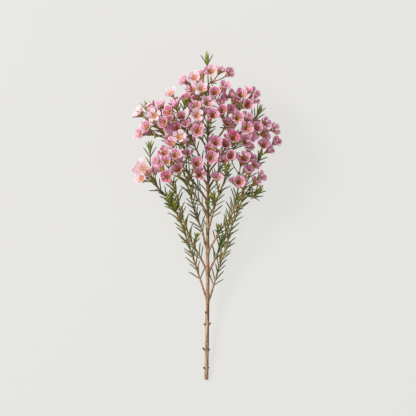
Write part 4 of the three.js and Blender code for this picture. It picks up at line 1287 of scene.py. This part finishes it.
def tuft(line, draw, extra, pairs, wide, stature=1.0, young=1.0):
    end = line[-1]
    direction = unit(unit(end - line[-2]) + np.array(tufts["aim"]))
    least, more, sway = tufts["spearLean"]
    rows = []
    for i in range(tufts["spears"]):
        lean = math.radians(least + (more + draw() * sway) * (i > 0))
        length = (needles["longest"] + 1 - draw() * tufts["shorter"]) * stature
        root = end - direction * (tufts["spearGap"][0] + i * tufts["spearGap"][1])
        fresh = (1 if i < 2 else tufts["youngSpear"][0] + tufts["youngSpear"][1] * extra()) * young
        angle = tufts["twist"][0] + i * tufts["twist"][1]
        rows += needleRow(root, direction, angle, lean, length, fresh, extra)
    for i in range(pairs):
        lean = math.radians(wide + i * tufts["widerBy"] + extra() * tufts["pairSway"])
        root = end - direction * (tufts["pairGap"][0] + i * tufts["pairGap"][1])
        length = (needles["longest"] - extra() * tufts["pairShorter"]) * stature
        fresh = max(0.0, tufts["pairYoung"][0] - i * tufts["pairYoung"][1]) * young
        for turn in (0, math.pi):
            angle = tufts["pairTurn"] + turn + (math.pi / 2 if i % 2 else 0)
            rows += needleRow(root, direction, angle, lean, length, fresh, extra)
    return rows


def rowMesh(name, rows):  # a point for each row, which carries the rest of the row as its fields
    roots = [row.pop("root") for row in rows]
    return pointMesh(name, roots, {key: [row[key] for row in rows] for key in rows[0]})


def makeNeedles(owner, line, start, name):
    draw, extra = makeDraw(seeds["needles"] + owner), makeDraw(seeds["sway"] + owner)
    isMain = owner == mainStem
    end, every = (needles["mainEnd"], 2) if isMain else (1.0, 1)
    rows = needlesAlong(line, draw, extra, start, end=end, every=every)
    flowering, leafy = grownFrom(owner)
    for cluster in flowering:
        twig = cluster["twig"]
        rows += needlesAlong(twig, draw, extra, **needles["onTwigs"])
        aim = unit(twig[2] - twig[1])
        root = twig[2] - aim * needles["leafBelow"]
        for turn in (needles["leafTurn"], needles["leafTurn"] + math.pi):  # two small leaves under the umbel
            lean = math.radians(needles["leafLean"][0] + needles["leafLean"][1] * extra())
            length = needles["leafLength"][0] + needles["leafLength"][1] * extra()
            rows += needleRow(root, aim, turn, lean, length, needles["leafYoung"], extra)
    for shoot in leafy:
        twig, young, stature = shoot["line"], shoot["young"], shoot["stature"]
        shades = [share * young for share in needles["shootYoung"]]
        rows += needlesAlong(twig, draw, extra, needles["shootStart"], shades, needles["shootEnd"], stature)
        rows += tuft(twig, draw, extra, tufts["pairs"], tufts["wide"], stature, young)
    if isMain:
        rows += tuft(line, makeDraw(seeds["topTuft"]), extra, tufts["topPairs"], tufts["topWide"])
    sizes = {**needles["sizes"], "Skin": needleSkin}
    return grown(name, needleTree, rowMesh(name, rows), sizes), len(rows)


def finishPiece(piece, slotName, *nodes):
    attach(piece, "root")
    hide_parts(*nodes)


def trianglesOf(piece):
    return sum(len(face.vertices) - 2 for face in piece.data.polygons)


needleCount, triangles = 0, 0
for owner in range(mainStem, len(branches)):
    isMain = owner == mainStem
    node = "main_stem" if isMain else "leafy_branch_%02d" % (owner + 1)
    stick = makeMainStem() if isMain else makeBranchWood(owner)
    start = needles["mainStart"] if isMain else needles["branchStart"]
    leaves, count = makeNeedles(owner, axis if isMain else branches[owner], start, node + "_needles")
    finishPiece(stick, "bark", node)
    finishPiece(leaves, "foliage", node)
    needleCount += count
    triangles += trianglesOf(stick) + trianglesOf(leaves)
print("wood and needles made, needles:", needleCount, "triangles:", triangles)


def bloomRows(centre, face, turn, tone, size, half, draw):
    deepest = tone >= petals["deepest"]
    if tone < petals["setTone"]:
        tone = min(max(tone + (draw() - 0.5) * petals["toneSway"], 0), 1)
    look = halfOpen if half else petals
    cupped = draw() ** petals["cuppedCurve"]  # some blooms are still cupped: their petals overlap in a ring
    closed = math.radians(petals["wideOpen"] if deepest else look["leastOpen"] + look["openSpread"] * cupped)
    broad = petals["deepWidth"] if deepest else petals["openWidth"] + petals["cuppedWidth"] * cupped
    (size0, size1), (width0, width1), (depth0, depth1) = petals["size"], petals["width"], petals["depth"]
    rows = []
    for petal in range(petals["count"]):
        angle = turn + petal / petals["count"] * 2 * math.pi
        angle += math.radians((draw() - 0.5) * petals["turnSway"])
        side = across(face, angle)
        lift = closed + math.radians((draw() - 0.5) * petals["liftSway"])
        roll = math.radians((draw() - 0.5) * petals["rollSway"])
        out, up = leaning(side, face, lift), leaning(face, -side, lift)
        rows.append({
            "root": centre + (side * petals["hinge"] + face * petals["hingeRise"]) * size, "petalAxis": out,
            "petalFace": leaning(up, np.cross(out, up), roll),
            "petalSize": (size0 + size1 * draw()) * size, "petalWidth": (width0 + width1 * draw()) * broad,
            "petalDepth": depth0 + depth1 * draw(),
            "petalTone": tone + (draw() - 0.5) * petals["petalToneSway"], "petalSeed": draw(),
        })
    return rows, across(face, turn), tone


# Pedicels: the radii of the stalks of open blooms, added blooms and buds, in millimetres.
stalks = {"open": (0.5, 0.78), "added": (0.45, 0.66), "bud": (0.45, 0.6), "inCup": 0.3, "bow": 0.3}


def pedicelChain(foot, base, face, radii):
    bend = base - face * lengthOf(base - foot) * stalks["bow"]
    shares = np.linspace(0, 1, 5)[:, None]
    low, high = foot * (1 - shares) + bend * shares, bend * (1 - shares) + base * shares
    line = low * (1 - shares) + high * shares
    return woodChain(line, *radii, wood["pedicelAges"], **wood["pedicel"])


def makeCluster(number, cluster):
    node = "flower_cluster_%02d" % (number + 1)
    name, foot = node + "_blooms", cluster["foot"]
    draw = makeDraw(seeds["blooms"] + number)
    petalRows, heartRows, budRows, chains = [], [], [], []
    own = zip(cluster["rows"], cluster["faces"], cluster["turns"], cluster["tones"])
    blooms = [(centres[row], face, turn, tone, False, "open") for row, face, turn, tone in own]
    blooms += [(one["centre"], one["face"], one["turn"], one["tone"], one["half"], "added")
               for one in cluster["extras"]]
    for centre, face, turn, tone, half, kind in blooms:
        size = halfOpen["size"] if half else 1.0
        rows, first, tone = bloomRows(centre, face, turn, tone, size, half, draw)
        petalRows += rows
        heart = {"root": centre, "bloomFace": face, "bloomAxis": first, "bloomTone": tone, "bloomSize": size}
        heartRows.append(heart)
        base = centre - face * (growth["calyxDepth"] * size - stalks["inCup"])
        chains.append(pedicelChain(foot, base, face, stalks[kind]))
    if draw() < buds["share"]:
        lean = unit(foot - cluster["twig"][1])
        face = unit(lean + across(lean, draw() * 2 * math.pi) * buds["lean"])
        root = foot + face * buds["stalk"]
        if clearOfBlooms(root, face, buds["room"]):
            budRows.append({
                "root": root, "bloomFace": face, "bloomAxis": across(face), "bloomTone": buds["cupTone"],
                "petalTone": buds["petalTone"], "petalSeed": draw(),
            })
            chains.append(pedicelChain(foot, root + face * stalks["inCup"], face, stalks["bud"]))
    skins = {
        "Skin": petalSkin, "Petal Skin": petalSkin, "Cup Skin": cupSkin, "Throat Skin": throatSkin,
        "Stamen Skin": stamenSkin,
    }
    heartMesh = rowMesh(name + "_hearts", heartRows)
    pieces = [
        grown(name, petalTree, rowMesh(name, petalRows), {**petals["sizes"], **skins}),
        grown(name + "_hearts", heartTree, heartMesh, {**hearts["sizes"], **skins}),
        woodPiece(name + "_pedicels", chains, bark["pedicelSides"], bark["pedicelDepth"], cupSkin),
    ]
    if budRows:
        mesh = rowMesh(name + "_buds", budRows)
        pieces.append(grown(name + "_buds", budTree, mesh, {**buds["sizes"], **skins}))
    piece = joinPieces(name, pieces)
    finishPiece(piece, "flowers", node)
    return piece, len(budRows)


triangles, budCount = 0, 0
for number, cluster in enumerate(clusters):
    piece, count = makeCluster(number, cluster)
    triangles += trianglesOf(piece)
    budCount += count
print("flower clusters made, buds:", budCount, "triangles:", triangles)

# Plain pale floor, softly lit from below so that shadows on it stay faint.
floorLook = {"base": (0.09, 0.09, 0.0885, 1), "tone": colour(230, 229, 225), "glow": 0.868, "size": 6.0}


def makeFloor():
    material, sockets = startMaterial("paleFloor", 0.9, 0.1)
    sockets["Base Color"].default_value = floorLook["base"]
    sockets["Emission Color"].default_value = floorLook["tone"]
    sockets["Emission Strength"].default_value = floorLook["glow"]
    half = floorLook["size"] / 2
    mesh = bpy.data.meshes.new("floor")
    corners = [(-half, -half, 0), (half, -half, 0), (half, half, 0), (-half, half, 0)]
    mesh.from_pydata(corners, [], [(0, 1, 2, 3)])
    mesh.materials.append(material)
    floor = bpy.data.objects.new("floor", mesh)
    bpy.context.scene.collection.objects.link(floor)


# Soft daylight from the upper left, a weak fill from the right, and a pale room.
studio = {
    "room": (0.93, 0.94, 0.95, 1), "roomStrength": 0.5, "aim": (0, 0.05, 0.05),
    "lamps": [
        {"name": "window", "place": (-1.6, 1.0, 1.6), "size": 0.9, "watts": 62, "colour": (1.0, 0.975, 0.94)},
        {"name": "fill", "place": (1.6, -0.6, 1.6), "size": 1.6, "watts": 9, "colour": (0.95, 0.97, 1.0)},
    ],
}


def lightStudio():
    world = bpy.data.worlds.new("paleRoom")
    world.use_nodes = True
    bpy.context.scene.world = world
    background = world.node_tree.nodes["Background"]
    background.inputs["Color"].default_value = studio["room"]
    background.inputs["Strength"].default_value = studio["roomStrength"]
    for lamp in studio["lamps"]:
        data = bpy.data.lights.new(lamp["name"], "AREA")
        data.shape, data.size, data.energy, data.color = "DISK", lamp["size"], lamp["watts"], lamp["colour"]
        light = bpy.data.objects.new(lamp["name"], data)
        light.location = lamp["place"]
        way = Vector(studio["aim"]) - Vector(lamp["place"])
        light.rotation_euler = way.to_track_quat("-Z", "Y").to_euler()
        bpy.context.scene.collection.objects.link(light)


# The camera looks straight down on the stem from far above: what width it sees, and at what height.
view = {"place": (0.00124, 0.01073, 5.0), "width": 0.50632, "height": 0.045, "sensor": 36, "clipEnd": 50}


def placeCamera():
    data = bpy.data.cameras.new("camera")
    data.sensor_width = view["sensor"]
    data.lens = view["sensor"] * (view["place"][2] - view["height"]) / view["width"]
    data.clip_end = view["clipEnd"]
    camera = bpy.data.objects.new("camera", data)
    camera.location = view["place"]
    bpy.context.scene.collection.objects.link(camera)
    bpy.context.scene.camera = camera


makeFloor()
lightStudio()
placeCamera()
bpy.context.scene.view_settings.view_transform = "Standard"
